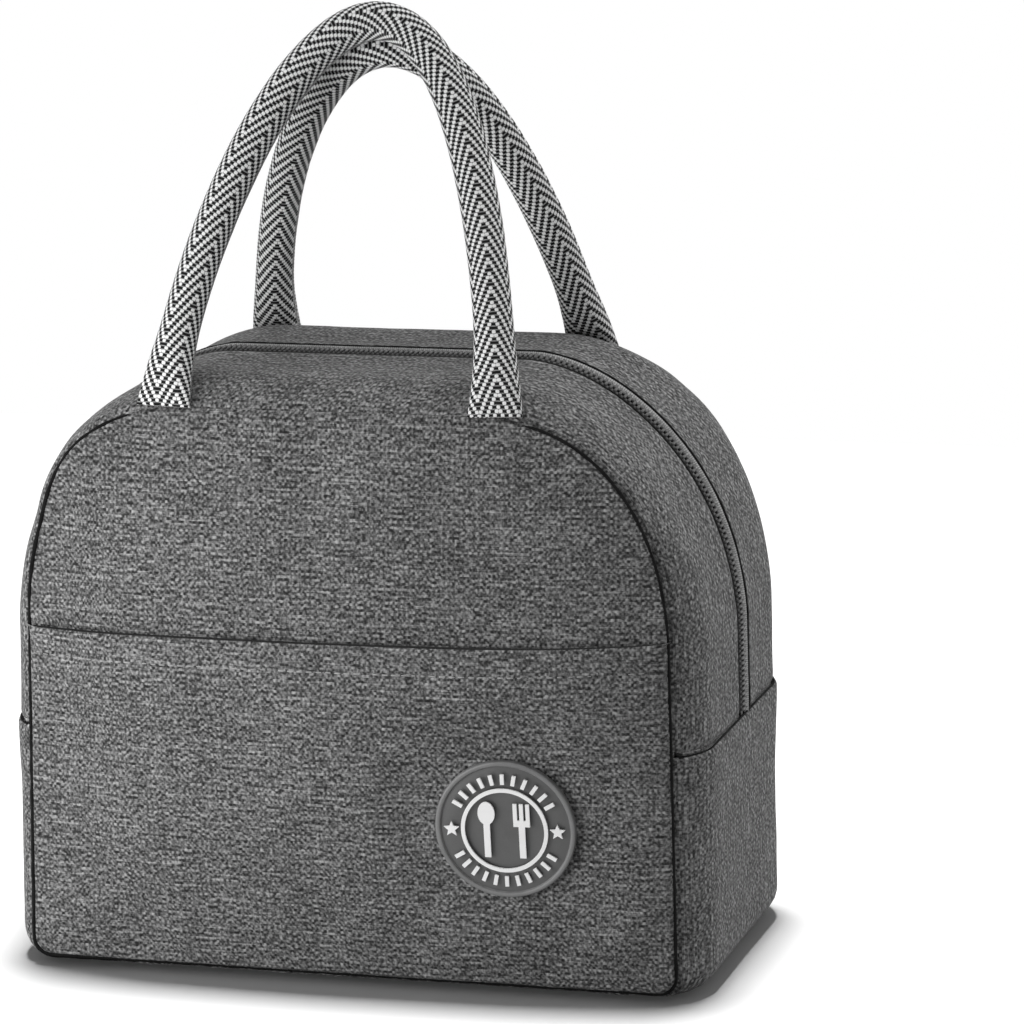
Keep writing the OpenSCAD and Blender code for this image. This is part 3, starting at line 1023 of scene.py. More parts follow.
def ribbed() -> bpy.types.NodeTree:
    """Narrow woven tape: fine ribs across its run, with worn tone along the ribs and painted shade in the
    troughs between them.

    Returns:
        The node group.
    """
    s = Surface(Effect.RIBBED, Pitch=0.7 * MM)
    u, v = s.split(s.place)
    rib = s.math("ABSOLUTE", s.sine(u * math.pi / s.take(s.source, "Pitch")))
    cross = s.math("ABSOLUTE", s.sine(v * (math.pi / (0.5 * MM))))
    worn = s.grain((160, 420, 1), 3.0, 0.6)
    # Tone follows the rib profile, light on the crests and dark in the troughs: painted shade, scaled by the
    # random worn tone.
    tone = (rib * 0.7 + cross * 0.3) * s.ramp(worn, 0.3, 0.7, 0.6, 1.0)
    return s.give(tone, s.ramp(worn, 0.3, 0.7, 0.85, 0.65), rib + cross * 0.3)


def crinkle() -> bpy.types.NodeTree:
    """Thin film pressed over foam: sharp creases, small dents and a quilted emboss, with painted shade in
    the dents.

    Returns:
        The node group.
    """
    s = Surface(Effect.CRINKLE)
    u, v = s.split(s.place)
    bent = s.vector("ADD", s.vector("MULTIPLY", s.place, (95, 95, 1)), s.grain((60, 60, 1)))
    crease = s.ramp(s.cells(bent, "DISTANCE_TO_EDGE"), 0.0, 0.18)
    dent = s.grain((420, 420, 1), 3.0, 0.55)
    quilt = s.sine((u + v) * 900.0) * s.sine((u - v) * 900.0)
    height = crease + dent * 0.8 + quilt * 0.25
    # Tone follows the dents that also drive the bump: random tone, darker in the hollows as painted shade.
    return s.give(s.ramp(dent, 0.25, 0.75), s.ramp(dent, 0.3, 0.7, 0.26, 0.42), height)


def cut_cells() -> bpy.types.NodeTree:
    """Cut closed-cell foam: small round cells with thin walls, painted darker in each cell's middle as shade
    in the pits.

    Returns:
        The node group.
    """
    s = Surface(Effect.CELLS)
    middle = s.cells(s.vector("MULTIPLY", s.place, (900, 900, 900)), "F1")
    # Tone rises from each cell's middle to its wall: painted shade in the cell pits.
    wall = s.ramp(middle, 0.1, 0.65)
    return s.give(wall, s.ramp(middle, 0.1, 0.6, 0.75, 0.9), wall)


def moulded() -> bpy.types.NodeTree:
    """Moulded or cast surface: fine grain, soft cloudiness and a little handling wear.

    Returns:
        The node group.
    """
    s = Surface(Effect.MOULDED, Grain=2400.0, Smooth=0.35, Rough=0.55)
    grain = s.noise(s.vector("MULTIPLY", s.place, s.take(s.source, "Grain")), 2.0, 0.6)
    cloud = s.grain((130, 130, 130), 3.0, 0.55)
    rough = s.ramp(cloud, 0.3, 0.7, s.take(s.source, "Smooth"), s.take(s.source, "Rough"))
    return s.give(s.ramp(cloud * 0.7 + grain * 0.3, 0.3, 0.7), rough, grain)


MAKERS = dict(zip(Effect, (heather, herringbone, ribbed, crinkle, cut_cells, moulded)))


def effect_group(effect: Effect) -> bpy.types.NodeTree:
    """Gives an effect's group, building it when it's first asked for.

    Args:
        effect: The effect.

    Returns:
        The group.
    """
    made = bpy.data.node_groups.get(effect.value)
    if made:
        return made
    made = MAKERS[effect]()
    log.info("effect %s: %d nodes", effect.value, len(made.nodes))
    return made


class Place(Enum):
    """Which coordinates a finish is laid out in."""

    THREAD = "UV"
    SOLID = "Object"


@dataclass(frozen=True)
class Finish:
    """A finish: one shared effect under one shader, with its own colours and depth."""

    name: str
    effect: Effect
    dark: Color
    light: Color
    bump: float
    place: Place = Place.THREAD
    metallic: float = 0.0
    sheen: float = 0.0
    specular: float = 0.5
    settings: tuple[tuple[str, float], ...] = ()

    def material(self) -> bpy.types.Material:
        """Gives the finish's material, making it when it's first asked for.

        Returns:
            The material.
        """
        made = bpy.data.materials.get(self.name)
        if made:
            return made
        material = bpy.data.materials.new(self.name)
        material.use_nodes = True
        g = Graph(material.node_tree)
        where = g.take(g.node("ShaderNodeTexCoord"), self.place.value)
        inputs = {"Place": where, "Dark": self.dark, "Light": self.light, **dict(self.settings)}
        group = g.node("ShaderNodeGroup", node_tree=effect_group(self.effect))
        height = g.take(group, "Height")
        bump = g.node("ShaderNodeBump", {"Strength": 1.0, "Distance": self.bump, "Height": height})
        surface = {
            "Base Color": g.take(group, "Color"),
            "Roughness": g.take(group, "Roughness"),
            "Normal": g.take(bump),
            "Metallic": self.metallic,
            "Specular IOR Level": self.specular,
            "Sheen Weight": self.sheen,
        }
        for node, values in ((group, inputs), (material.node_tree.nodes["Principled BSDF"], surface)):
            for key, value in values.items():
                g.put(node.inputs[key], value)
        return material

    def dress_some(self, obj: bpy.types.Object, faces: Array) -> None:
        """Puts the finish on some faces of an object that has a finish already.

        Args:
            obj: The object.
            faces: True for each face to cover.
        """
        obj.data.materials.append(self.material())
        last = len(obj.data.materials) - 1
        index = np.zeros(len(obj.data.polygons), np.int32)
        obj.data.polygons.foreach_get("material_index", index)
        obj.data.polygons.foreach_set("material_index", np.where(faces, last, index).astype(np.int32))

    def dress(self, *objects: bpy.types.Object) -> None:
        """Puts the finish on whole objects.

        Args:
            *objects: The objects.
        """
        for obj in objects:
            if not obj.data.materials:
                obj.data.materials.append(self.material())
            for slot in obj.material_slots:
                slot.material = self.material()
            log.info("%s: %d faces, %s", obj.name, len(obj.data.polygons), self.name)


def grey(level: int) -> Color:
    """Linear colour of an sRGB grey from 0 to 255.

    Args:
        level: The grey.

    Returns:
        The colour.
    """
    c = level / 255
    linear = c / 12.92 if c <= 0.04045 else ((c + 0.055) / 1.055) ** 2.4
    return linear, linear, linear, 1.0


def ribbed_finish(
    name: str, dark: int, light: int, bump: float, pitch: float, specular: float = 0.3
) -> Finish:
    """A finish of ribbed tape or thread.

    Args:
        name: Name of the finish.
        dark: The darker grey, from 0 to 255.
        light: The lighter grey.
        bump: Depth of the bump.
        pitch: Distance from rib to rib.
        specular: Strength of the shine.

    Returns:
        The finish.
    """
    tones = grey(dark), grey(light)
    return Finish(name, Effect.RIBBED, *tones, bump, specular=specular, settings=(("Pitch", pitch),))


HEATHER = Finish("heather_canvas", Effect.HEATHER, grey(22), grey(182), 0.22 * MM, sheen=0.1, specular=0.25)
WEBBING = Finish("herringbone_webbing", Effect.HERRINGBONE, grey(5), grey(250), 0.3 * MM, specular=0.12)
TAPE = ribbed_finish("zip_tape_weave", 104, 206, 0.12 * MM, 0.7 * MM)
BINDING = ribbed_finish("binding_grosgrain", 40, 96, 0.22 * MM, 1.1 * MM)
THREAD = ribbed_finish("sewing_thread", 110, 200, 0.08 * MM, 0.4 * MM)
# Near-black cords laid in seam grooves, creases and gaps: painted shade.
SEAM_SHADE = ribbed_finish("seam_sewing", 6, 16, 0.08 * MM, 0.6 * MM, specular=0.1)
FOIL = Finish("foil_film", Effect.CRINKLE, grey(186), grey(236), 0.45 * MM, metallic=0.55, specular=0.6)
FOAM = Finish("cut_foam", Effect.CELLS, grey(186), grey(226), 0.2 * MM, specular=0.3)
COIL = Finish("nylon_coil", Effect.MOULDED, grey(36), grey(78), 0.04 * MM, Place.SOLID)
METAL = Finish("slider_alloy", Effect.MOULDED, grey(86), grey(120), 0.02 * MM, Place.SOLID, metallic=0.9)
RUBBER = Finish("soft_rubber", Effect.MOULDED, grey(66), grey(76), 0.03 * MM, Place.SOLID, specular=0.6)
RIM = Finish("rim_rubber", Effect.MOULDED, grey(104), grey(122), 0.03 * MM, Place.SOLID, specular=0.6)
# Near-black finish of painted shade: the pocket's back faces and a strip inside its mouth.
POCKET_SHADE = Finish("painted_pocket_shade", Effect.MOULDED, grey(14), grey(24), 0.04 * MM, Place.SOLID, specular=0.2)
RELIEF = Finish("pale_rubber", Effect.MOULDED, grey(248), grey(255), 0.02 * MM, Place.SOLID, specular=0.6)
LAMINATE = {Layer.SKIN: HEATHER, Layer.FOAM: FOAM, Layer.LINING: FOIL}


# ---------------------------------------------------------------- fabric shells


PUCKER_REACH = 12 * MM
GATHER_WIDE, GATHER_LONG = 11 * MM, 26 * MM


def pucker(u: Array, edge: Array, seed: int, size: float = 0.4 * MM) -> Array:
    """Small gathers that a sewn seam pulls into the fabric beside it.

    Args:
        u: Length along the seam.
        edge: Distance from the seam.
        seed: Seed of the noise.
        size: Height of the gathers.

    Returns:
        Height over the smooth surface.
    """
    gathers = fractal_noise(u / GATHER_WIDE, edge / GATHER_LONG, seed, 2)
    return size * gathers * np.exp(-edge / PUCKER_REACH) * smooth_step(edge, 0, 2 * MM)


def across(points: Array) -> Array:
    """Length over the surface from the first column of a grid of points to each of the others."""
    step = np.linalg.norm(np.diff(points, axis=1), axis=-1)
    return np.concatenate([np.zeros((len(points), 1)), np.cumsum(step, axis=1)], axis=1)


def eased(run: Array) -> Array:
    """Run of the weave across a strip, eased past the tight turn at the seam."""
    return 0.65 * run + 0.42 * PUCKER_REACH * (1 - np.exp(-run / PUCKER_REACH))


def seam_roll(edge: Array) -> Array:
    """Share of the seam groove's depth that is left at a distance from the seam."""
    return np.exp(-((edge / FORM.groove_reach) ** 2))


def declare_layer(
    layer: Layer, flat: tuple[float, float], share: float
) -> None:
    """Does nothing with what a layer is made of: for cloth or film it works out the cut area and drops it.

    Args:
        layer: Which layer it is.
        flat: Width and length that it was cut to.
        share: Share of that rectangle that the cut fills.
    """
    if layer is Layer.FOAM:
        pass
    else:
        share * flat[0] * flat[1]


@dataclass(frozen=True)
class Patch:
    """A four-sided grid over the part of the panel between four lengths along the seam."""

    form: BagForm
    top: float = FORM.height
    widest: float = 4.4 * MM
    first: float = 0.28 * MM
    growth: float = 1.32
    shoulder: float = 150 * MM

    def _spread(self, length: float) -> Array:
        """Fractions of a side, close together near both ends."""
        half = np.array(graded(length / 2, self.first, self.growth, self.widest)) / length
        return np.concatenate([half, 1 - half[-2::-1]])

    def _edges(self) -> tuple[float, float]:
        """Seam lengths of the grid's upper and lower right corners."""
        low = self.form.half_length - (self.form.half_w - self.form.corner) - self.form.corner * math.pi / 4
        return self.form.length_at(min(self.top, self.shoulder)), low

    def rim(self, x: Array) -> Array:
        """Height of the top edge where the patch ends below the shoulders."""
        return np.full(np.shape(x), self.top)

    def grid(self) -> tuple[Array, Array]:
        """Lays the grid out.

        Returns:
            x and z of its points, rows from bottom to top.
        """
        high, low = self._edges()
        v = self._spread(low - high)
        u = self._spread(2 * self.form.half_w)
        full = self.top > self.shoulder

        def curve(s: Array) -> Array:
            """Seam points as pairs of x and z."""
            x, z, _, _ = self.form.seam(s)
            return np.stack([x, z], -1)

        total = 2 * self.form.half_length
        bottom = curve(total - low + (2 * low - total) * u)
        right, left = curve(low + (high - low) * v), curve(-(low + (high - low) * v))
        if full:
            top = curve(-high + 2 * high * u)
        else:
            x = left[-1, 0] + (right[-1, 0] - left[-1, 0]) * u
            top = np.stack([x, self.rim(x)], -1)
            right[:, 1] += (top[-1, 1] - right[-1, 1]) * v**3
            left[:, 1] += (top[0, 1] - left[-1, 1]) * v**3
        a, b = u[None, :, None], v[:, None, None]
        flat = (1 - b) * bottom[None] + b * top[None] + (1 - a) * left[:, None] + a * right[:, None]
        flat -= (1 - b) * ((1 - a) * bottom[0] + a * bottom[-1]) + b * ((1 - a) * top[0] + a * top[-1])
        return flat[..., 0], flat[..., 1]


@dataclass(frozen=True)
class PocketPatch(Patch):
    """The pocket's grid, whose open edge hangs a little in the middle."""

    top: float = FORM.pocket_top
    edge_x: tuple[float, ...] = (-109, -95, -62, -31, 0, 28, 57, 75, 85, 103, 109)
    edge_z: tuple[float, ...] = (114.1, 114.2, 114.5, 114.7, 114.8, 115.1, 115.5, 115.8, 116.2, 117.2, 117.6)

    def rim(self, x: Array) -> Array:
        """Height of the pocket's open edge."""
        return np.polyval(np.polyfit(np.array(self.edge_x) * MM, np.array(self.edge_z) * MM, 4), x)


@dataclass(frozen=True)
class Panel:
    """A padded front or back panel: skin, foam and lining."""

    side: Side
    form: BagForm = FORM
    cloth: Cloth = Cloth()
    middle: float = 95 * MM
    turn_round: float = 100 * MM
    roll_middle: float = 98 * MM
    inset_middle: float = 94 * MM
    foam_inset: float = 3.4 * MM
    lining_inset: float = 4.6 * MM
    skin_step: float = 4.4 * MM
    inner_step: float = 8 * MM

    @property
    def seed(self) -> int:
        """Seed of the panel's wrinkles."""
        return 11 if self.side is Side.FRONT else 23

    @cached_property
    def swell(self) -> Swell:
        """The panel's settled face."""
        return Swell(self.form, self.cloth, self.form.height, self.seed)

    @property
    def label(self) -> str:
        """First part of the names of the panel's pieces."""
        return self.side.name.lower()

    def nodes(self, layer: Layer) -> tuple[str, ...]:
        """CAD nodes that one layer stands for.

        Args:
            layer: The layer.

        Returns:
            The names of the nodes.
        """
        word = {Layer.SKIN: "panel", Layer.FOAM: "foam", Layer.LINING: "lining"}[layer]
        if self.side is Side.BACK:
            return (f"back_{word}",)
        return f"front_{word}_lower", f"front_{word}_upper"

    def surface(self, x: Array, z: Array, depth: float, edge: Array, seed: int) -> Array:
        """One face of a layer.

        Args:
            x: Grid of x.
            z: Grid of z.
            depth: Depth under the panel's outer face.
            edge: Distance from the seam.
            seed: Seed of the wrinkles, or 0 for none.

        Returns:
            Points of the face.
        """
        out = self.form.half_d + Layer.SKIN.thickness - depth + self.swell.at(x, z)
        if seed:
            along = np.arctan2(z - self.middle, x) * self.turn_round
            out = out + pucker(along, edge, seed + 5)
        return np.stack([x, self.side.value * out, z], -1)

    def rolled(self, points: Array, edge: Array) -> Array:
        """Turns the rim of a skin down into the seam groove.

        Args:
            points: Points of one face of the skin.
            edge: Distance of each point from the seam.

        Returns:
            The points after the turn.
        """
        roll = (seam_roll(edge) * self.form.drawn(points[..., 0], points[..., 2]))[..., None]
        middle = np.array([0, 0, self.roll_middle])
        inward = (middle - points) * np.array([1, 0, 1])
        inward /= np.maximum(np.linalg.norm(inward, axis=-1, keepdims=True), 1e-6)
        down = np.array([0, -self.side.value * (self.form.groove + 0.5 * MM), 0])
        return points + roll * (inward * 0.7 * MM + down)

    def build(self, layer: Layer) -> bpy.types.Object:
        """Makes one layer as a closed sheet.

        Args:
            layer: The layer.

        Returns:
            The piece.
        """
        skin = layer is Layer.SKIN
        patch = Patch(self.form, widest=self.skin_step if skin else self.inner_step)
        x, z = patch.grid()
        edge = self.form.seam_distance(x, z)
        uv = np.stack([x + 0.3, z], -1)
        if skin:
            outer = self.surface(x, z, 0, edge, self.seed)
            inner = outer - np.array([0, self.side.value * layer.thickness, 0])
            outer, inner = self.rolled(outer, edge), self.rolled(inner, edge)
        else:
            share = 1 - (self.foam_inset if layer is Layer.FOAM else self.lining_inset) / self.form.half_w
            x, z = x * share, self.inset_middle + (z - self.inset_middle) * share
            outer = self.surface(x, z, layer.depth, edge, 0)
            inner = self.surface(x, z, layer.depth + layer.thickness, edge, 0)
        word = "panel" if skin else layer.name.lower()
        obj = closed_sheet(f"{self.label}_{word}", outer, inner, uv)
        obj = subdivided(obj) if skin else obj
        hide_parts(*self.nodes(layer))
        cut = (2 * self.form.half_w, self.form.height - self.form.seam_lift)
        declare_layer(layer, cut, min(1, self.form.face_area / (cut[0] * cut[1])))
        return hold(obj, self.side is Side.FRONT)

    def make(self) -> None:
        """Builds and dresses the panel's layers."""
        for layer, finish in LAMINATE.items():
            finish.dress(self.build(layer))


@dataclass(frozen=True)
class Pocket:
    """The open-topped pocket sewn over the lower front panel."""

    panel: Panel
    form: BagForm = FORM
    cloth: Cloth = Cloth(pressure=0.6, growth=0.004, cap=1.6 * MM)
    stand_off: float = 1.7 * MM
    swell_top: float = 116 * MM
    step: float = 4.2 * MM
    thick: float = 0.8 * MM
    middle: float = 60 * MM
    turn_round: float = 90 * MM
    hem: float = 10 * MM
    hem_thick: float = 0.9 * MM
    stitch_drop: float = 8.7 * MM
    stitch_pitch: float = 3.1 * MM
    stitch_long: float = 2.1 * MM
    stitch_radius: float = 0.28 * MM
    stitch_end: float = 101 * MM
    # Half width and cut of the painted-shade strip inside the pocket's mouth.
    mouth_shade_half: float = 106.5 * MM
    mouth_shade_flat: tuple[float, float] = (213 * MM, 13.7 * MM)

    @cached_property
    def swell(self) -> Swell:
        """The pocket's settled face."""
        return Swell(self.form, self.cloth, self.swell_top, 41, self.panel.swell)

    @cached_property
    def patch(self) -> PocketPatch:
        """The pocket's grid."""
        return PocketPatch(self.form, widest=self.step)

    def face(self, x: Array, z: Array) -> Array:
        """How far the pocket's outer face stands from the middle of the bag.

        Args:
            x: Points across the pocket.
            z: Heights of the same points.

        Returns:
            The distances.
        """
        edge = self.form.seam_distance(x, z)
        out = self.form.half_d + self.stand_off + self.swell.at(x, z)
        drawn = 0.45 * MM * np.exp(-(((self.patch.rim(x) - z - self.stitch_drop) / (1.4 * MM)) ** 2))
        along = np.arctan2(z - self.middle, x) * self.turn_round
        return out + np.maximum(pucker(along, edge, 47), 0) - drawn

    def build(self) -> bpy.types.Object:
        """Makes the pocket as a closed sheet with a thick rounded hem.

        Returns:
            The piece.
        """
        x, z = self.patch.grid()
        edge = self.form.seam_distance(x, z)
        outer = np.stack([x, -self.face(x, z), z], -1)
        below = self.patch.rim(x) - z
        thick = self.thick + self.hem_thick * smooth_step(-below, -self.hem - 1 * MM, -self.hem)
        inner = outer + np.stack([np.zeros_like(x), thick, np.zeros_like(x)], -1)
        tuck = np.exp(-((below / (0.7 * MM)) ** 2))
        outer[..., 1] += 0.5 * MM * tuck
        inner[..., 1] -= 0.5 * MM * tuck
        roll = np.exp(-((edge / (1.1 * MM)) ** 2)) * (1 - tuck)
        for face in (outer, inner):
            face[..., 0] -= np.sign(x) * roll * 1.2 * MM * (np.abs(x) > 100 * MM)
            face[..., 1] += roll * (self.form.groove + 1.2 * MM)
            face[..., 2] += roll * 0.7 * MM * (z < 6 * MM)
        obj = subdivided(closed_sheet("front_pocket", outer, inner, np.stack([x + 0.9, z + 0.4], -1)))
        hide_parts("front_pocket_lower", "front_pocket_upper")
        return hold(obj, True)

    def mouth_shade(self) -> bpy.types.Object:
        """Makes the near-black strip on the panel just inside the pocket's mouth: painted shade of the gap
        there.

        Returns:
            The piece.
        """
        x = np.linspace(-self.mouth_shade_half, self.mouth_shade_half, 86)
        outer = [(0.3, 0.3), (0.9, 0.45), (3, 0.45), (8, 0.4), (14, 0.3)]
        drop, proud = np.array(outer + [(down, 0.05) for down, _ in outer[::-1]]).T * MM
        z = self.patch.rim(x)[:, None] - drop[None]
        wide = x[:, None] + 0 * z
        edge = self.form.seam_distance(wide, z)
        y = self.panel.surface(wide, z, 0, edge, self.panel.seed)[..., 1]
        obj = swept_strip("pocket_mouth_shade", np.stack([wide, y - proud, z], -1), np.stack([wide, z], -1))
        return hold(obj, True)

    def on_back(self, obj: bpy.types.Object) -> Array:
        """Picks the faces that lie against the panel, below the hem, which take painted shade.

        Args:
            obj: The pocket.

        Returns:
            True for each face on the back.
        """
        count = len(obj.data.polygons)
        normals = np.empty(count * 3)
        obj.data.polygons.foreach_get("normal", normals)
        middles = face_middles(obj)
        low = middles[:, 2] < self.patch.rim(middles[:, 0]) - 0.5 * MM
        return (normals.reshape(-1, 3)[:, 1] > 0.3) & low

    def stitches(self) -> bpy.types.Object:
        """Makes the row of hem stitches.

        Returns:
            The piece.
        """
        x = np.arange(-self.stitch_end, self.stitch_end, self.stitch_pitch)
        z = self.patch.rim(x) - self.stitch_drop
        y = -(self.face(x, z) + 0.1 * MM)
        centres = np.stack([x, y, z], -1)
        obj = stitch_row("pocket_hem_stitches", centres, self.stitch_long, self.stitch_radius)
        return hold(obj, True)

    def make(self) -> None:
        """Builds and dresses the pocket, with painted shade on its back faces and in its mouth, and its
        stitches.
        """
        cover = self.build()
        HEATHER.dress(cover)
        # The pocket's back faces are painted near-black as the shade under the pocket's mouth.
        POCKET_SHADE.dress_some(cover, self.on_back(cover))
        POCKET_SHADE.dress(self.mouth_shade())
        THREAD.dress(self.stitches())


def stitch_row(name: str, centres: Array, length: float, radius: float) -> bpy.types.Object:
    """Makes a row of sewn thread on the front, each stitch a small arched capsule.

    Args:
        name: Name of the object.
        centres: Middle of each stitch, N by 3.
        length: Length of a stitch.
        radius: Radius of the thread.

    Returns:
        The object.
    """
    along = np.gradient(centres, axis=0)
    along /= np.linalg.norm(along, axis=1, keepdims=True)
    out = np.array([0.0, -1.0, 0.0])
    cross = np.cross(along, out)
    rings = [(-0.5, 0.35), (-0.38, 0.95), (0, 1.05), (0.38, 0.95), (0.5, 0.35)]
    a = turns(6)
    parts = []
    faces = grid_faces(len(rings), len(a), wrap=True) + end_caps(len(rings), len(a))
    for c, t, k in zip(centres, along, cross):
        points = []
        for way, swell in rings:
            round_it = k * np.cos(a)[:, None] + out * (np.sin(a)[:, None] - 0.5 * (1 - swell))
            points.append(c + t * length * way + round_it * radius * swell)
        parts.append((np.vstack(points), faces))
    points, faces = merged(parts)
    return fix_normals(mesh_object(name, points, faces, points[:, [0, 2]]))


def sewing(name: str, points: Array, uv: Array, lifts: bool) -> bpy.types.Object:
    """Makes a near-black cord along a stitched seam, which paints the shade where the seam sinks in.

    Args:
        name: Name of the object.
        points: Stations by section points by 3.
        uv: UV in metres for each of those points.
        lifts: True where it reaches over the fold in the front.

    Returns:
        The piece.
    """
    obj = swept_strip(name, points, uv)
    return hold(obj, lifts)


# ---------------------------------------------------------------- gusset


@dataclass(frozen=True)
class Gusset:
    """The strips round the sides: two zip strips over the top and the base strip under them."""

    form: BagForm = FORM
    front_slot: float = 4.7 * MM
    back_slot: float = 6.4 * MM
    front_rise: float = 0.3 * MM
    back_rise: float = 0.8 * MM
    turn: float = 8 * MM
    proud: float = 1.1 * MM
    first: float = 0.3 * MM
    growth: float = 1.33
    widest: float = 4.5 * MM
    foam_inset: float = 3 * MM
    lining_inset: float = 4 * MM
    binding_in: float = 7.9 * MM
    binding_half: float = 4 * MM
    binding_deep: float = 5.4 * MM
    binding_thick: float = 0.8 * MM
    ridge_in: float = 2.4 * MM
    slack_seam: float = 200 * MM

    @property
    def end(self) -> float:
        """Seam length from the top middle to the fold, where the zip ends."""
        return self.form.length_at(self.form.fold)

    @property
    def total(self) -> float:
        """Length of the whole seam."""
        return 2 * self.form.half_length

    def stations(self, start: float, stop: float, step: float) -> Array:
        """Evenly spaced seam lengths, at most step apart."""
        return np.linspace(start, stop, max(2, int(math.ceil((stop - start) / step)) + 1))

    def wrinkle(self, s: Array, r: Array, seed: int) -> Array:
        """Unevenness of the skin, gathered along the seam and calm towards the middle.

        Args:
            s: Lengths along the seam.
            r: Distances from the seam.
            seed: Seed of the unevenness.

        Returns:
            The lifts.
        """
        broad = 0.35 * MM * fractal_noise(s / (40 * MM), r / (26 * MM), seed)
        broad = broad * smooth_step(r, 2 * MM, 14 * MM)
        ridge = 0.3 * MM * np.exp(-(((r - self.ridge_in) / (1 * MM)) ** 2))
        x, z, _, _ = self.form.seam(s)
        groove = self.form.groove * seam_roll(r) * self.form.drawn(x, z)
        return broad + ridge + pucker(s, r, seed + 3, 0.45 * MM) - groove

    def seam_cord(self, side: Side, upper: bool) -> bpy.types.Object:
        """Makes the near-black cord at the bottom of a seam's groove: painted shade of the groove.

        Args:
            side: The seam.
            upper: The length above the fold rather than the one below it.

        Returns:
            The piece.
        """
        start, stop = (-self.end, self.end) if upper else (self.end, self.total - self.end)
        s = self.stations(start, stop, 2 * MM)[:, None]
        a = turns(6)
        twist = 0.08 * MM * np.cos(s * 2 * math.pi / (2.6 * MM))
        x, z, _, _ = self.form.seam(s)
        # The cord is widened on the lower left front, where the groove's painted shade is broader.
        from_slack = np.abs(s + self.slack_seam - (s > 0) * self.total)
        left = smooth_step(from_slack, 110 * MM, 80 * MM) * (side is Side.FRONT)
        left = left * (0.55 + 0.45 * smooth_step(z, 118 * MM, 108 * MM))
        faint = 1 - self.form.drawn(x, z)
        size = (0.55 + 0.42 * left - 0.3 * faint) * MM + twist
        r = (-0.3 - 0.45 * left + 0.5 * faint) * MM + size * np.cos(a)
        lift = (-1.1 - 0.2 * left - 0.9 * faint) * MM + size * np.sin(a)
        points = self.form.gusset_point(s, np.maximum(r, 0), side, lift)
        points[..., 1] -= side.value * np.minimum(r, 0)
        uv = np.stack([s + 0 * lift, 0.45 * MM * a + 0 * s], -1)
        name = f"seam_sewing_{side.name.lower()}_{'upper' if upper else 'lower'}"
        return sewing(name, points, uv, upper and side is Side.FRONT)

    def edge_cord(self, right: bool) -> bpy.types.Object:
        """Makes the near-black cord in the crease over the base strip's turned edge: painted shade of the
        crease.

        Args:
            right: True for the right side of the bag.

        Returns:
            The piece.
        """
        size = 0.35 * MM
        side = 1 if right else -1
        r = np.linspace(1 * MM, 2 * self.form.half_d - 1 * MM, 60)[:, None]
        a = turns(6)
        along = side * (self.end - 0.15 * MM) + size * np.cos(a)
        lift = 0.15 * MM + size * np.sin(a)[None] + 0 * r
        points = self.form.gusset_point(along[None] + 0 * r, r + 0 * a[None], Side.FRONT, lift)
        uv = np.stack([r + 0 * lift, size * a + 0 * r], -1)
        return sewing(f"edge_sewing_{'right' if right else 'left'}", points, uv, False)

    def strip_width(self, side: Side) -> float:
        """Distance from the seam to a zip strip's fold edge."""
        return self.form.half_d - (self.front_slot if side is Side.FRONT else self.back_slot)

    def _skin_section(self, side: Side) -> tuple[Array, Array, Array]:
        """Lays out the outer cloth of a zip strip, folded under along the zip.

        Args:
            side: The seam that the strip is sewn to.

        Returns:
            Lengths along the seam, distances from the seam, and lifts, as a grid.
        """
        width = self.strip_width(side)
        s = self.stations(-self.end, self.end, 3 * MM)[:, None]
        r = np.array(graded(width - 1.2 * MM, self.first, self.growth, self.widest))
        r = np.concatenate([r, [width - 0.5 * MM, width - 0.12 * MM]])
        most = self.front_rise if side is Side.FRONT else self.back_rise
        rise = most * smooth_step(r, width - 9 * MM, width - 1 * MM)
        ease = -0.25 * MM * smooth_step(r, width - 1.3 * MM, width - 0.1 * MM)
        rough = self.wrinkle(s, r[None], 61 if side is Side.FRONT else 71)
        top = rough * (1 - smooth_step(r, width - 12 * MM, width)) + rise + ease
        back = np.array([width, width - 0.12 * MM, width - 0.6 * MM, width - 7 * MM, 8 * MM, 2 * MM, 0.0])
        low = np.array([-0.8, -1.4, -1.7, -1.6, -0.8, -0.8, -0.8]) * MM + rise[-1] * (back > width - 8 * MM)
        low = low[None] - self.form.groove * seam_roll(back)[None] + 0 * s
        return s, np.concatenate([r, back])[None] + 0 * s, np.concatenate([top + 0 * s, low], axis=1)

    def _inner_section(self, side: Side, layer: Layer) -> tuple[Array, Array, Array]:
        """Lays out the foam or the lining of a zip strip.

        Args:
            side: The seam that the strip is sewn to.
            layer: The layer.

        Returns:
            Lengths along the seam, distances from the seam, and lifts, as a grid.
        """
        foam = layer is Layer.FOAM
        s = self.stations(-self.end, self.end, 5 * MM)[:, None]
        start = self.foam_inset if foam else self.lining_inset
        stop = self.strip_width(side) - (2.5 if foam else 4.0) * MM
        r = np.array([start + d for d in graded(stop - start, 2 * MM, 1.4, 7 * MM)])
        squeeze = smooth_step(r, stop - 9 * MM, stop - 2 * MM) * foam
        top = -layer.depth - 0.7 * MM * squeeze
        low = top - layer.thickness + 1.35 * MM * squeeze
        return s, np.concatenate([r, r[::-1]])[None] + 0 * s, np.concatenate([top, low[::-1]])[None] + 0 * s

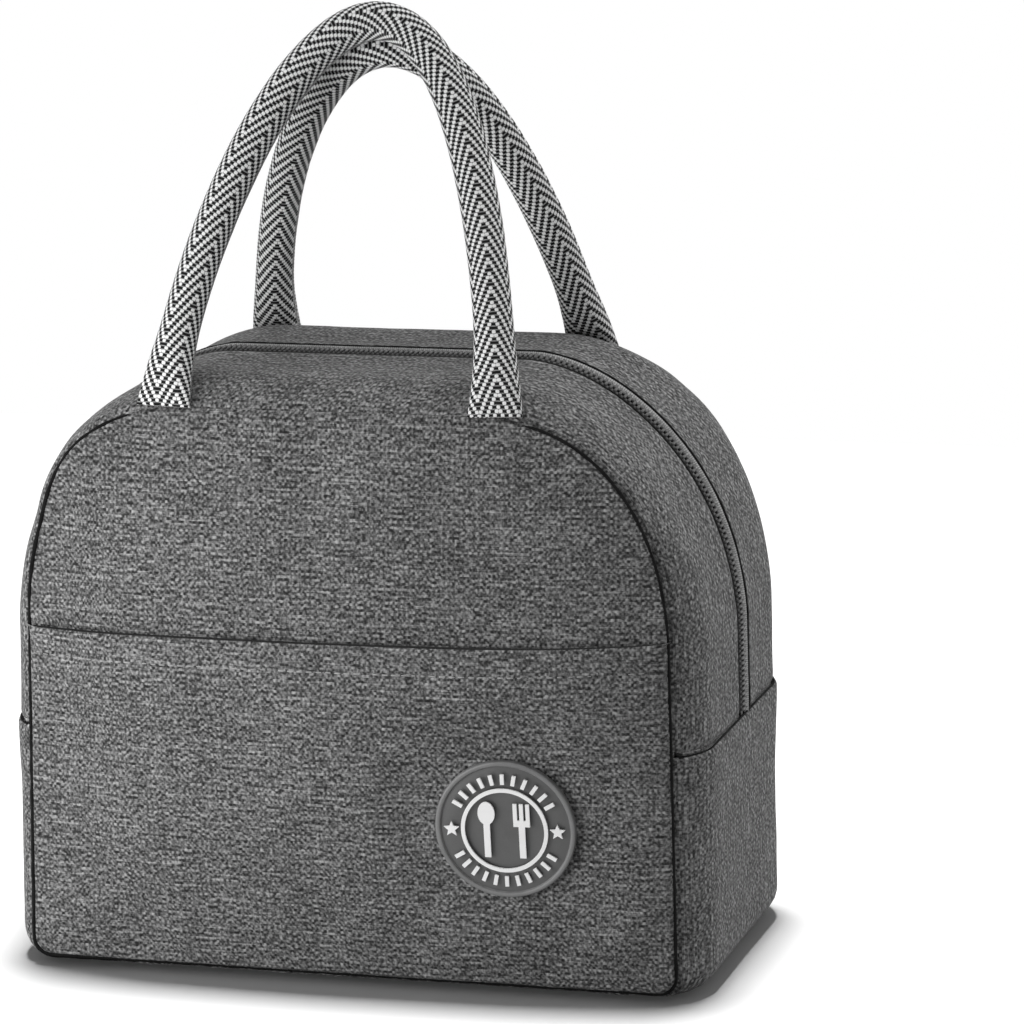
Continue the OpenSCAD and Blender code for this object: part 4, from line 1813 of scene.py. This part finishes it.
    def strip(self, side: Side, layer: Layer) -> bpy.types.Object:
        """Makes one layer of a zip strip.

        Args:
            side: The seam that the strip is sewn to.
            layer: The layer.

        Returns:
            The piece.
        """
        width = self.strip_width(side)
        skin = layer is Layer.SKIN
        s, r, lift = self._skin_section(side) if skin else self._inner_section(side, layer)
        points = self.form.gusset_point(s, r, side, lift)
        uv = np.stack([s + 0 * r + 0.8, eased(across(points)) + 0.2 + 0.3 * (side is Side.BACK)], -1)
        word = {Layer.SKIN: "zip_strip", Layer.FOAM: "strip_foam", Layer.LINING: "strip_lining"}[layer]
        name, pad = f"{word}_{side.name.lower()}", f"strip_foam_{side.name.lower()}"
        obj = swept_strip(name, points, uv)
        obj = subdivided(obj) if skin else obj
        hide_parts(name)
        declare_layer(layer, (width + (self.turn if skin else 0), 2 * self.end), 1.0)
        return hold(obj, side is Side.FRONT)

    def base(self, layer: Layer) -> bpy.types.Object:
        """Makes one layer of the base strip, which runs up both flanks.

        Args:
            layer: The layer.

        Returns:
            The piece.
        """
        end, total = self.end, self.total
        skin = layer is Layer.SKIN
        inset = {Layer.SKIN: 0, Layer.FOAM: self.foam_inset, Layer.LINING: self.lining_inset}[layer]
        wide = 2 * (self.form.half_d - inset)
        if skin:
            d = graded((total - 2 * end) / 2, 0.35 * MM, 1.5, 3.4 * MM)
            s = end + np.array(d)
            s = np.concatenate([s, (total - s)[-2::-1]])[:, None]
            e = np.array(graded(wide / 2, self.first, self.growth, self.widest))
            r = np.concatenate([e, (wide - e)[-2::-1]])[None]
            near = np.minimum(r, wide - r)
            tip = np.minimum(s - end, total - end - s)
            seam = self.wrinkle(s, near, 83)
            turned = 1 - smooth_step(tip, self.turn, self.turn + 1.5 * MM)
            lift = seam + self.proud * (1 - smooth_step(tip, 3 * MM, 30 * MM)) * smooth_step(near, 0, 4 * MM)
            round_edge = 0.5 * MM * np.exp(-((tip / (0.45 * MM)) ** 2))
            outer, inner = lift - round_edge, lift - (0.8 + 0.8 * turned) * MM + round_edge
        else:
            s = self.stations(end + 0.5 * MM, total - end - 0.5 * MM, 4 * MM)[:, None]
            r = inset + np.linspace(0, wide, 24)[None]
            outer = -layer.depth + 0 * s * r
            inner = outer - layer.thickness
        faces = [self.form.gusset_point(s, r, Side.FRONT, lift) for lift in (outer, inner)]
        uv = np.stack(np.broadcast_arrays(s + 1.6, eased(across(faces[0])) + 0.9), -1)
        word = {Layer.SKIN: "base_gusset", Layer.FOAM: "base_foam", Layer.LINING: "base_lining"}[layer]
        obj = closed_sheet(word, *faces, uv)
        obj = subdivided(obj) if skin else obj
        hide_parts(word)
        declare_layer(layer, (wide, total - 2 * end + (2 * self.turn if skin else 0)), 1.0)
        return hold(obj, False)

    def binding(self, side: Side, upper: bool) -> bpy.types.Object:
        """Makes the tape bound round the raw edges inside a seam.

        Args:
            side: The seam.
            upper: For the front seam, the length on the lifting part rather than the standing one.

        Returns:
            The piece.
        """
        step, gap = 3 * MM, 0.2 * MM
        if side is Side.BACK:
            name, s = "seam_binding_back", self.stations(0, self.total, step)[:-1]
        elif upper:
            name, s = "seam_binding_front_upper", self.stations(gap - self.end, self.end - gap, step)
        else:
            name, s = "seam_binding_front_lower", self.stations(self.end, self.total - self.end, step)
        s = s[:, None]
        loop = turns(16)
        c, d = np.cos(loop), np.sin(loop)
        r = self.binding_in + self.binding_half * np.sign(c) * np.abs(c) ** 0.45
        wave = 0.25 * MM * fractal_noise(s / (14 * MM), 0 * s, 91)
        lift = self.binding_thick * (np.sign(d) * np.abs(d) ** 0.7)[None] + wave - self.binding_deep
        points = self.form.gusset_point(s, r[None], side, lift)
        uv = np.stack([s + 0 * lift, 0 * s + loop * 2.6 * MM], -1)
        if side is Side.BACK:
            rows, cols = points.shape[:2]
            last = (rows - 1) * cols
            faces = grid_faces(rows, cols, wrap=True)
            faces += [(last + k, last + (k + 1) % cols, (k + 1) % cols, k) for k in range(cols)]
            obj = fix_normals(mesh_object(name, points.reshape(-1, 3), faces, uv.reshape(-1, 2)))
        else:
            obj = swept_strip(name, points, uv)
        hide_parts(name)
        return hold(obj, upper)

    def make(self) -> None:
        """Builds and dresses the strips, the near-black cords that paint the seams' shade, and the bindings.
        """
        for layer, finish in LAMINATE.items():
            finish.dress(*(self.strip(side, layer) for side in Side), self.base(layer))
        SEAM_SHADE.dress(*(self.seam_cord(side, upper) for side in Side for upper in (False, True)))
        SEAM_SHADE.dress(self.edge_cord(False), self.edge_cord(True))
        edges = ((Side.BACK, False), (Side.FRONT, False), (Side.FRONT, True))
        BINDING.dress(*(self.binding(side, upper) for side, upper in edges))


@dataclass(frozen=True)
class Zip:
    """The coil zip between the two strips."""

    gusset: Gusset = Gusset()
    tape_inner: float = 1.6 * MM
    tape_outer: float = 13 * MM
    tape_thick: float = 0.55 * MM
    pitch: float = 20 / 12 * MM
    coil_end: float = 1.2 * MM
    coil_lift: float = 0.25 * MM
    cord_in: float = 1.95 * MM
    cord_wide: float = 0.75 * MM
    cord_high: float = 0.5 * MM
    step: float = 2.5 * MM

    def tape(self, side: Side) -> bpy.types.Object:
        """Makes one woven tape with a rounded selvedge.

        Args:
            side: The half of the zip.

        Returns:
            The piece.
        """
        form, end = self.gusset.form, self.gusset.end
        s = self.gusset.stations(-end, end, self.step)[:, None]
        near = [(3.2, -0.9), (4.4, -0.85), (5.2, -0.9)]
        if side is Side.BACK:
            near = [(3.0, -0.7), (3.5, -0.3), (4.1, 0.35), (4.7, 0.7), (5.1, 0.55), (5.4, -0.4)]
        first, last, thick = (size / MM for size in (self.tape_inner, self.tape_outer, self.tape_thick))
        upper = [(first, -1.35), (1.75, -1.25), *near, (7.5, -1.75), (10, -1.85), (last, -1.85)]
        under = [(last, -2.3)] + [(a, b - thick) for a, b in upper[-2:0:-1]] + [(first, -1.6)]
        off, lift = np.array(upper + under).T * MM
        lift = lift[None] + 0.05 * MM * fractal_noise(s / (9 * MM), off[None] / (5 * MM), 103)
        points = form.gusset_point(s, form.half_d - off[None], side, lift)
        uv = np.stack(np.broadcast_arrays(s, off[None]), -1)
        name = f"zip_tape_{side.name.lower()}"
        obj = swept_strip(name, points, uv)
        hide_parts(name)
        cut = (self.tape_outer - self.tape_inner, 2 * end)
        return hold(obj, side is Side.FRONT)

    def gap_cord(self) -> bpy.types.Object:
        """Makes the near-black cord in the gap between the rear tape and its strip: painted shade of the
        gap.

        Returns:
            The piece.
        """
        form, end = self.gusset.form, self.gusset.end
        s = self.gusset.stations(-end + 1 * MM, end - 1 * MM, 1.2 * MM)[:, None]
        a = turns(6)
        off = 6.05 * MM + 0.55 * MM * np.cos(a)
        lift = 0.5 * MM + 0.5 * MM * np.sin(a)[None] + 0.08 * MM * fractal_noise(s / (2 * MM), 0 * s, 131, 1)
        points = form.gusset_point(s, form.half_d - off[None], Side.BACK, lift)
        return sewing("zip_gap_painted_shade", points, np.stack([s + 0 * lift, 0.36 * MM * a + 0 * s], -1), False)

    def tooth(self) -> tuple[Array, Array, list]:
        """One turn of the coil, as rings across the zip that swell at its tip.

        Returns:
            Ring positions across, the ring points as pairs of along and up, and the faces.
        """
        reach = np.array([2.8, 2.5, 1.7, 0.8, 0.25, -0.15, -0.35]) * MM
        half = np.array([0.25, 0.5, 0.52, 0.5, 0.56, 0.46, 0.18]) * MM
        tall = np.array([0.33, 0.62, 0.66, 0.62, 0.68, 0.6, 0.22]) * MM
        a = turns(8) + math.pi / 8
        ring = np.stack([half[:, None] * np.cos(a), tall[:, None] * np.sin(a)], -1)
        return reach, ring, grid_faces(len(reach), len(a), wrap=True) + end_caps(len(reach), len(a))

    def coil(self, side: Side) -> bpy.types.Object:
        """Makes one half of the coil, turn by turn, on its cord.

        Args:
            side: The half of the zip.

        Returns:
            The piece.
        """
        form, end = self.gusset.form, self.gusset.end
        start = self.coil_end - end + (0 if side is Side.FRONT else self.pitch / 2)
        reach, ring, faces = self.tooth()
        parts = []
        for middle in np.arange(start, end - self.coil_end, self.pitch):
            s = middle + ring[..., 0]
            points = form.gusset_point(s, form.half_d - reach[:, None], side, self.coil_lift + ring[..., 1])
            parts.append((points.reshape(-1, 3), faces))
        s = self.gusset.stations(-end, end, self.step)[:, None]
        a = turns(8)
        r = form.half_d - (self.cord_in + self.cord_wide * np.cos(a))[None]
        cord = form.gusset_point(s, r, side, self.cord_high * np.sin(a)[None] - self.coil_lift)
        rows, cols = cord.shape[:2]
        parts.append((cord.reshape(-1, 3), grid_faces(rows, cols, wrap=True) + end_caps(rows, cols)))
        name = f"zip_coil_{side.name.lower()}"
        points, faces = merged(parts)
        obj = fix_normals(mesh_object(name, points, faces, points[:, [0, 2]]))
        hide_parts(name)
        return hold(obj, side is Side.FRONT)

    def make(self, nodes: dict[str, bpy.types.Object]) -> None:
        """Builds and dresses the zip.

        Args:
            nodes: The frame's solids, for the slider, its pin and its tab.
        """
        # The near-black cord paints the shade in the gap beside the rear tape.
        SEAM_SHADE.dress(self.gap_cord())
        TAPE.dress(*(self.tape(side) for side in Side))
        COIL.dress(*(self.coil(side) for side in Side))
        METAL.dress(*(nodes[name] for name in ("zip_slider", "zip_slider_pin", "zip_pull_tab")))


# ---------------------------------------------------------------- handles


@dataclass(frozen=True)
class Handle:
    """A padded webbing handle that arches over the bag and flattens into the seam at its feet."""

    side: Side
    rise: float
    sway: float
    span: float = 109 * MM
    radius: float = 6.2 * MM
    foot_half: float = 9 * MM
    foot_thin: float = 1.0 * MM
    lean_gap: float = 4.55 * MM
    base_y: float = 54.8 * MM
    base_z: float = FORM.height
    sunk: float = 0.2 * MM
    foot_reach: float = 34 * MM
    flat_reach: float = 20.4 * MM
    bend_low: float = 1 * MM
    bend_high: float = 16 * MM
    girth: float = 39 * MM
    seam_deep: float = 0.5 * MM
    stations: int = 150
    sides: int = 28

    @property
    def lean(self) -> float:
        """Angle that the handle leans inwards from upright."""
        return math.asin((self.base_y - self.lean_gap) / self.rise)

    def centreline(self) -> tuple[Array, Array, Array]:
        """Lays out the middle of the handle.

        Returns:
            Lengths along it from its apex, and its in-plane coordinates across and up.
        """
        a = np.linspace(-math.pi / 2, math.pi / 2, 1200)
        v = self.sunk + (self.rise - self.sunk) * np.cos(a)
        share = np.clip(v / self.rise, 0, 1)
        u = np.sign(a) * self.span / 2 * np.sqrt(np.clip(1 - share**1.45, 0, 1)) + self.sway * share**2
        length = np.concatenate([[0], np.cumsum(np.hypot(np.diff(u), np.diff(v)))])
        grid = np.linspace(0, length[-1], self.stations)
        return grid - length[-1] / 2, np.interp(grid, length, u), np.interp(grid, length, v)

    def build(self) -> bpy.types.Object:
        """Makes the handle as a closed tube with flat feet and a sewn seam along its underside.

        Returns:
            The piece.
        """
        along, u, v = self.centreline()
        du, dv = np.gradient(u), np.gradient(v)
        norm = np.hypot(du, dv)
        tu, tv = du / norm, dv / norm
        nu, nv = tv, -tu
        near = np.clip(v / self.foot_reach, 0, 1)
        wide = self.radius + (self.foot_half - self.radius) * (1 - near) ** 2
        flat = np.clip(v / self.flat_reach, 0, 1)
        thick = self.radius + (self.foot_thin - self.radius) * (1 - flat) ** 2
        a = turns(self.sides)
        lump = 1 + 0.022 * fractal_noise(along[:, None] / (17 * MM), a[None] * 1.3, 131 + self.side.value)
        power = 0.5 + 0.5 * flat[:, None]
        ca, sa = np.cos(a)[None], np.sin(a)[None]
        cross = np.sign(ca) * np.abs(ca) ** power * wide[:, None] * lump
        out = np.sign(sa) * np.abs(sa) ** power * thick[:, None] * lump
        seam = np.exp(-(((a[None] - 0.95 * math.pi) / 0.16) ** 2)) * self.seam_deep * flat[:, None]
        cross = cross * (1 - seam / self.radius)
        pu, pv = u[:, None] + nu[:, None] * cross, v[:, None] + nv[:, None] * cross
        lean, sign = self.lean, self.side.value
        y = sign * (self.base_y - pv * math.sin(lean)) + sign * out * math.cos(lean)
        z = self.base_z + pv * math.cos(lean) + out * math.sin(lean)
        points = np.stack([pu, y, z], -1)
        around = across(np.concatenate([points, points[:, :1]], axis=1))
        uv = np.stack([along[:, None] + 0 * a[None], around[:, :-1] / around[:, -1:] * self.girth], -1)
        name = f"handle_{self.side.name.lower()}"
        obj = swept_strip(name, points, uv)
        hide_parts(name)
        if self.side is Side.FRONT:
            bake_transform(obj)
        else:
            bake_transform(obj)
        return obj

    def make(self) -> None:
        """Builds and dresses the handle."""
        WEBBING.dress(self.build())


# ---------------------------------------------------------------- badge


@dataclass(frozen=True)
class Badge:
    """The moulded rubber badge on the pocket, with its raised rim and relief."""

    form: BagForm = FORM
    radius: float = 22.5 * MM
    thick: float = 1.6 * MM
    rim_high: float = 0.8 * MM
    rim_wide: float = 1.7 * MM
    sunk: float = 0.3 * MM
    stand_off: float = 1.7 * MM
    slope_step: float = 4 * MM
    sides: int = 96

    def _place(self, a: Array, b: Array, up: Array) -> Array:
        """Maps badge coordinates onto the slope of the pocket.

        Args:
            a: Across the badge.
            b: Up the badge.
            up: Height over the pocket.

        Returns:
            Points in the bag's frame.
        """
        x, z, step = self.form.badge_x, self.form.badge_z, self.slope_step
        px, pz = x + np.array([0, step, -step, 0, 0]), z + np.array([0, 0, 0, step, -step])
        face = self.form.half_d + self.stand_off + self.form.puff(px, pz) + self.form.gape(px, pz)
        gx, gz = (face[1] - face[2]) / (2 * step), (face[3] - face[4]) / (2 * step)
        ex = np.array([1, -gx, 0]) / math.hypot(1, gx)
        ez = np.array([0, -gz, 1]) / math.hypot(1, gz)
        ey = np.cross(ex, ez)
        ey /= np.linalg.norm(ey)
        centre = np.array([x, -face[0], z])
        a, b, up = np.broadcast_arrays(a, b, up)
        return centre + a[..., None] * ex + b[..., None] * ez + up[..., None] * ey

    def on_rim(self, obj: bpy.types.Object) -> Array:
        """Picks the faces of the disc's raised rim.

        Args:
            obj: The disc.

        Returns:
            True for each face of the rim.
        """
        centre = self._place(np.zeros(1), np.zeros(1), np.zeros(1))[0]
        middles = face_middles(obj) - centre
        return np.linalg.norm(middles, axis=1) > self.radius - self.rim_wide + 0.05 * MM

    def disc(self) -> bpy.types.Object:
        """Makes the rubber disc, turned from a rounded profile.

        Returns:
            The piece.
        """
        top, rim = self.thick, self.thick + self.rim_high
        out, inn = self.radius, self.radius - self.rim_wide
        profile = [(8 * MM, top), (16 * MM, top), (inn - 0.6 * MM, top), (inn - 0.15 * MM, top - 0.12 * MM)]
        profile += [(inn, top - 0.1 * MM), (inn + 0.12 * MM, rim - 0.3 * MM)]
        profile += [(inn + 0.35 * MM, rim - 0.06 * MM)]
        profile += [(inn + 0.8 * MM, rim), (out - 0.55 * MM, rim), (out - 0.2 * MM, rim - 0.12 * MM)]
        profile += [(out, rim - 0.5 * MM), (out, 0.3 * MM), (out - 0.2 * MM, -self.sunk)]
        a, rings = turns(self.sides), np.array(profile)
        points = self._place(rings[:, :1] * np.cos(a), rings[:, :1] * np.sin(a), rings[:, 1:] + 0 * a)
        tips = self._place(np.zeros(2), np.zeros(2), np.array([top, -self.sunk]))
        rows, cols = points.shape[:2]
        base, last = rows * cols, (rows - 1) * cols
        faces = grid_faces(rows, cols, wrap=True)
        faces += [(base, k, (k + 1) % cols) for k in range(cols)]
        faces += [(base + 1, last + (k + 1) % cols, last + k) for k in range(cols)]
        every = np.vstack([points.reshape(-1, 3), tips])
        obj = fix_normals(mesh_object("badge_disc", every, faces, every[:, [0, 2]]))
        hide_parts("badge_disc")
        return hold(obj, False)

    def make(self, nodes: dict[str, bpy.types.Object]) -> None:
        """Builds and dresses the badge.

        Args:
            nodes: The frame's solids, for the relief.
        """
        disc = self.disc()
        RUBBER.dress(disc)
        RIM.dress_some(disc, self.on_rim(disc))
        RELIEF.dress(nodes["badge_emblem"])


# ---------------------------------------------------------------- stage


@dataclass(frozen=True)
class Lamp:
    """A square area light aimed at the bag."""

    name: str
    place: tuple[float, float, float]
    size: float
    power: float
    aim: tuple[float, float, float] = (0.0, 0.0, 0.12)

    def build(self, lights: bpy.types.Collection) -> None:
        """Adds the light.

        Args:
            lights: The light-linking group that says what it falls on.
        """
        data = bpy.data.lights.new(self.name, "AREA")
        data.size, data.energy = self.size, self.power
        obj = bpy.data.objects.new(self.name, data)
        obj.visible_camera = False
        obj.light_linking.receiver_collection = lights
        obj.location = self.place
        aim = Vector(self.aim) - Vector(self.place)
        obj.rotation_euler = aim.to_track_quat("-Z", "Y").to_euler()
        bpy.context.scene.collection.objects.link(obj)


@dataclass(frozen=True)
class Studio:
    """Floor, lights and camera."""

    target: tuple[float, float, float] = (0.0, 0.0, 0.095)
    azimuth: float = 18.73
    elevation: float = 14.61
    roll: float = -2.18
    distance: float = 1.701
    focal: float = 5233.4
    centre: tuple[float, float] = (393.2, 652.7)
    image: int = 1024
    sensor: float = 36.0
    fill: float = 0.13
    floor_half: float = 0.75
    floor_drop: float = 0.3 * MM
    floor_lift: float = 0.03
    floor_bounce: float = 0.26
    floor_white: float = 0.86
    bag_lamps: tuple[Lamp, ...] = (
        Lamp("key_light", (-0.2, -0.31, 0.13), 0.25, 1.08),
        Lamp("side_light", (0.75, 0.25, 0.45), 0.5, 2.0),
        Lamp("top_light", (0.1, -0.1, 3.4), 2.4, 64),
    )
    floor_lamps: tuple[Lamp, ...] = (Lamp("floor_light", (0.0, 0.12, 2.2), 0.5, 72),)

    def camera(self) -> None:
        """Places the camera."""
        a, e, r = (math.radians(v) for v in (self.azimuth, self.elevation, self.roll))
        back = Vector((math.sin(a) * math.cos(e), -math.cos(a) * math.cos(e), math.sin(e)))
        right = Vector((math.cos(a), math.sin(a), 0.0))
        up = back.cross(right)
        cam_x = math.cos(r) * right + math.sin(r) * up
        cam_y = -math.sin(r) * right + math.cos(r) * up
        place = Vector(self.target) + back * self.distance
        half = self.image / 2
        shift = cam_x * (half - self.centre[0]) + cam_y * (self.centre[1] - half)
        aim = shift / self.focal - back
        forward = aim.normalized()
        new_x = forward.cross(cam_y).normalized()
        new_y = new_x.cross(forward)
        data = bpy.data.cameras.new("studio_camera")
        data.sensor_width = self.sensor
        data.lens = self.focal / self.image * self.sensor
        obj = bpy.data.objects.new("studio_camera", data)
        rows = [[new_x[i], new_y[i], -forward[i], place[i]] for i in range(3)]
        obj.matrix_world = Matrix(rows + [[0, 0, 0, 1]])
        bpy.context.scene.collection.objects.link(obj)
        bpy.context.scene.camera = obj

    def link_group(self, name: str, floor: bpy.types.Object, state: str) -> bpy.types.Collection:
        """Makes a light-linking group that takes the floor in or leaves it out.

        Args:
            name: Name of the group.
            floor: The floor.
            state: INCLUDE or EXCLUDE.

        Returns:
            The group.
        """
        group = bpy.data.collections.new(name)
        group.objects.link(floor)
        group.collection_objects[0].light_linking.link_state = state
        return group

    def world(self) -> None:
        """Fills the shadows softly, and shows white behind the bag."""
        world = bpy.data.worlds.new("studio_world")
        bpy.context.scene.world = world
        world.use_nodes = True
        world.node_tree.nodes.clear()
        g = Graph(world.node_tree)
        strength = g.ramp(self.seen(g), 0.0, 1.0, self.fill, 1.0)
        shade = g.node("ShaderNodeBackground", {"Color": (1, 1, 1, 1), "Strength": strength})
        g.node("ShaderNodeOutputWorld", {"Surface": g.take(shade)})

    def seen(self, g: Graph) -> Value:
        """Mask of the rays that look at the backdrop: from the camera, a gloss or a clear piece.

        Args:
            g: Graph that the mask is for.

        Returns:
            The mask.
        """
        path = g.node("ShaderNodeLightPath")
        kinds = ("Camera", "Glossy", "Transmission")
        camera, gloss, clear = (g.take(path, f"Is {kind} Ray") for kind in kinds)
        return g.math("MAXIMUM", g.math("MAXIMUM", camera, gloss), clear)

    def floor(self) -> bpy.types.Object:
        """Lays a wide plain floor that keeps the bag's shadow.

        Returns:
            The floor.
        """
        square = np.array([(-1, -1), (1, -1), (1, 1), (-1, 1)]) * self.floor_half
        points = np.column_stack([square, np.full(4, -self.floor_drop)])
        obj = mesh_object("studio_floor", points, [(0, 1, 2, 3)])
        material = bpy.data.materials.new("floor_paper")
        material.use_nodes = True
        g = Graph(material.node_tree)
        bounce, white = ((tone, tone, tone, 1) for tone in (self.floor_bounce, self.floor_white))
        surface = {
            "Base Color": g.blend(self.seen(g), bounce, white),
            "Roughness": 0.95,
            "Specular IOR Level": 0.1,
            "Emission Color": (1, 1, 1, 1),
            "Emission Strength": self.seen(g) * self.floor_lift,
        }
        for key, value in surface.items():
            g.put(material.node_tree.nodes["Principled BSDF"].inputs[key], value)
        obj.data.materials.append(material)
        return obj

    def build(self) -> None:
        """Sets up the whole studio."""
        bpy.context.scene.view_settings.view_transform = "Standard"
        self.camera()
        self.world()
        floor = self.floor()
        for state, lamps in (("EXCLUDE", self.bag_lamps), ("INCLUDE", self.floor_lamps)):
            group = self.link_group(f"lights_floor_{state.lower()}d", floor, state)
            for lamp in lamps:
                lamp.build(group)


def main() -> None:
    """Builds and dresses every piece of the bag, and sets up its studio."""
    logging.basicConfig(level=logging.INFO, format="%(name)s %(message)s")
    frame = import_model()
    front, gusset = Panel(Side.FRONT), Gusset()
    front.make()
    Panel(Side.BACK).make()
    Pocket(front).make()
    gusset.make()
    Zip(gusset).make(frame["nodes"])
    Handle(Side.FRONT, rise=126 * MM, sway=4.5 * MM).make()
    Handle(Side.BACK, rise=117 * MM, sway=5 * MM).make()
    Badge().make(frame["nodes"])
    Studio().build()
    bpy.context.view_layer.update()


if __name__ == "__main__":
    main()
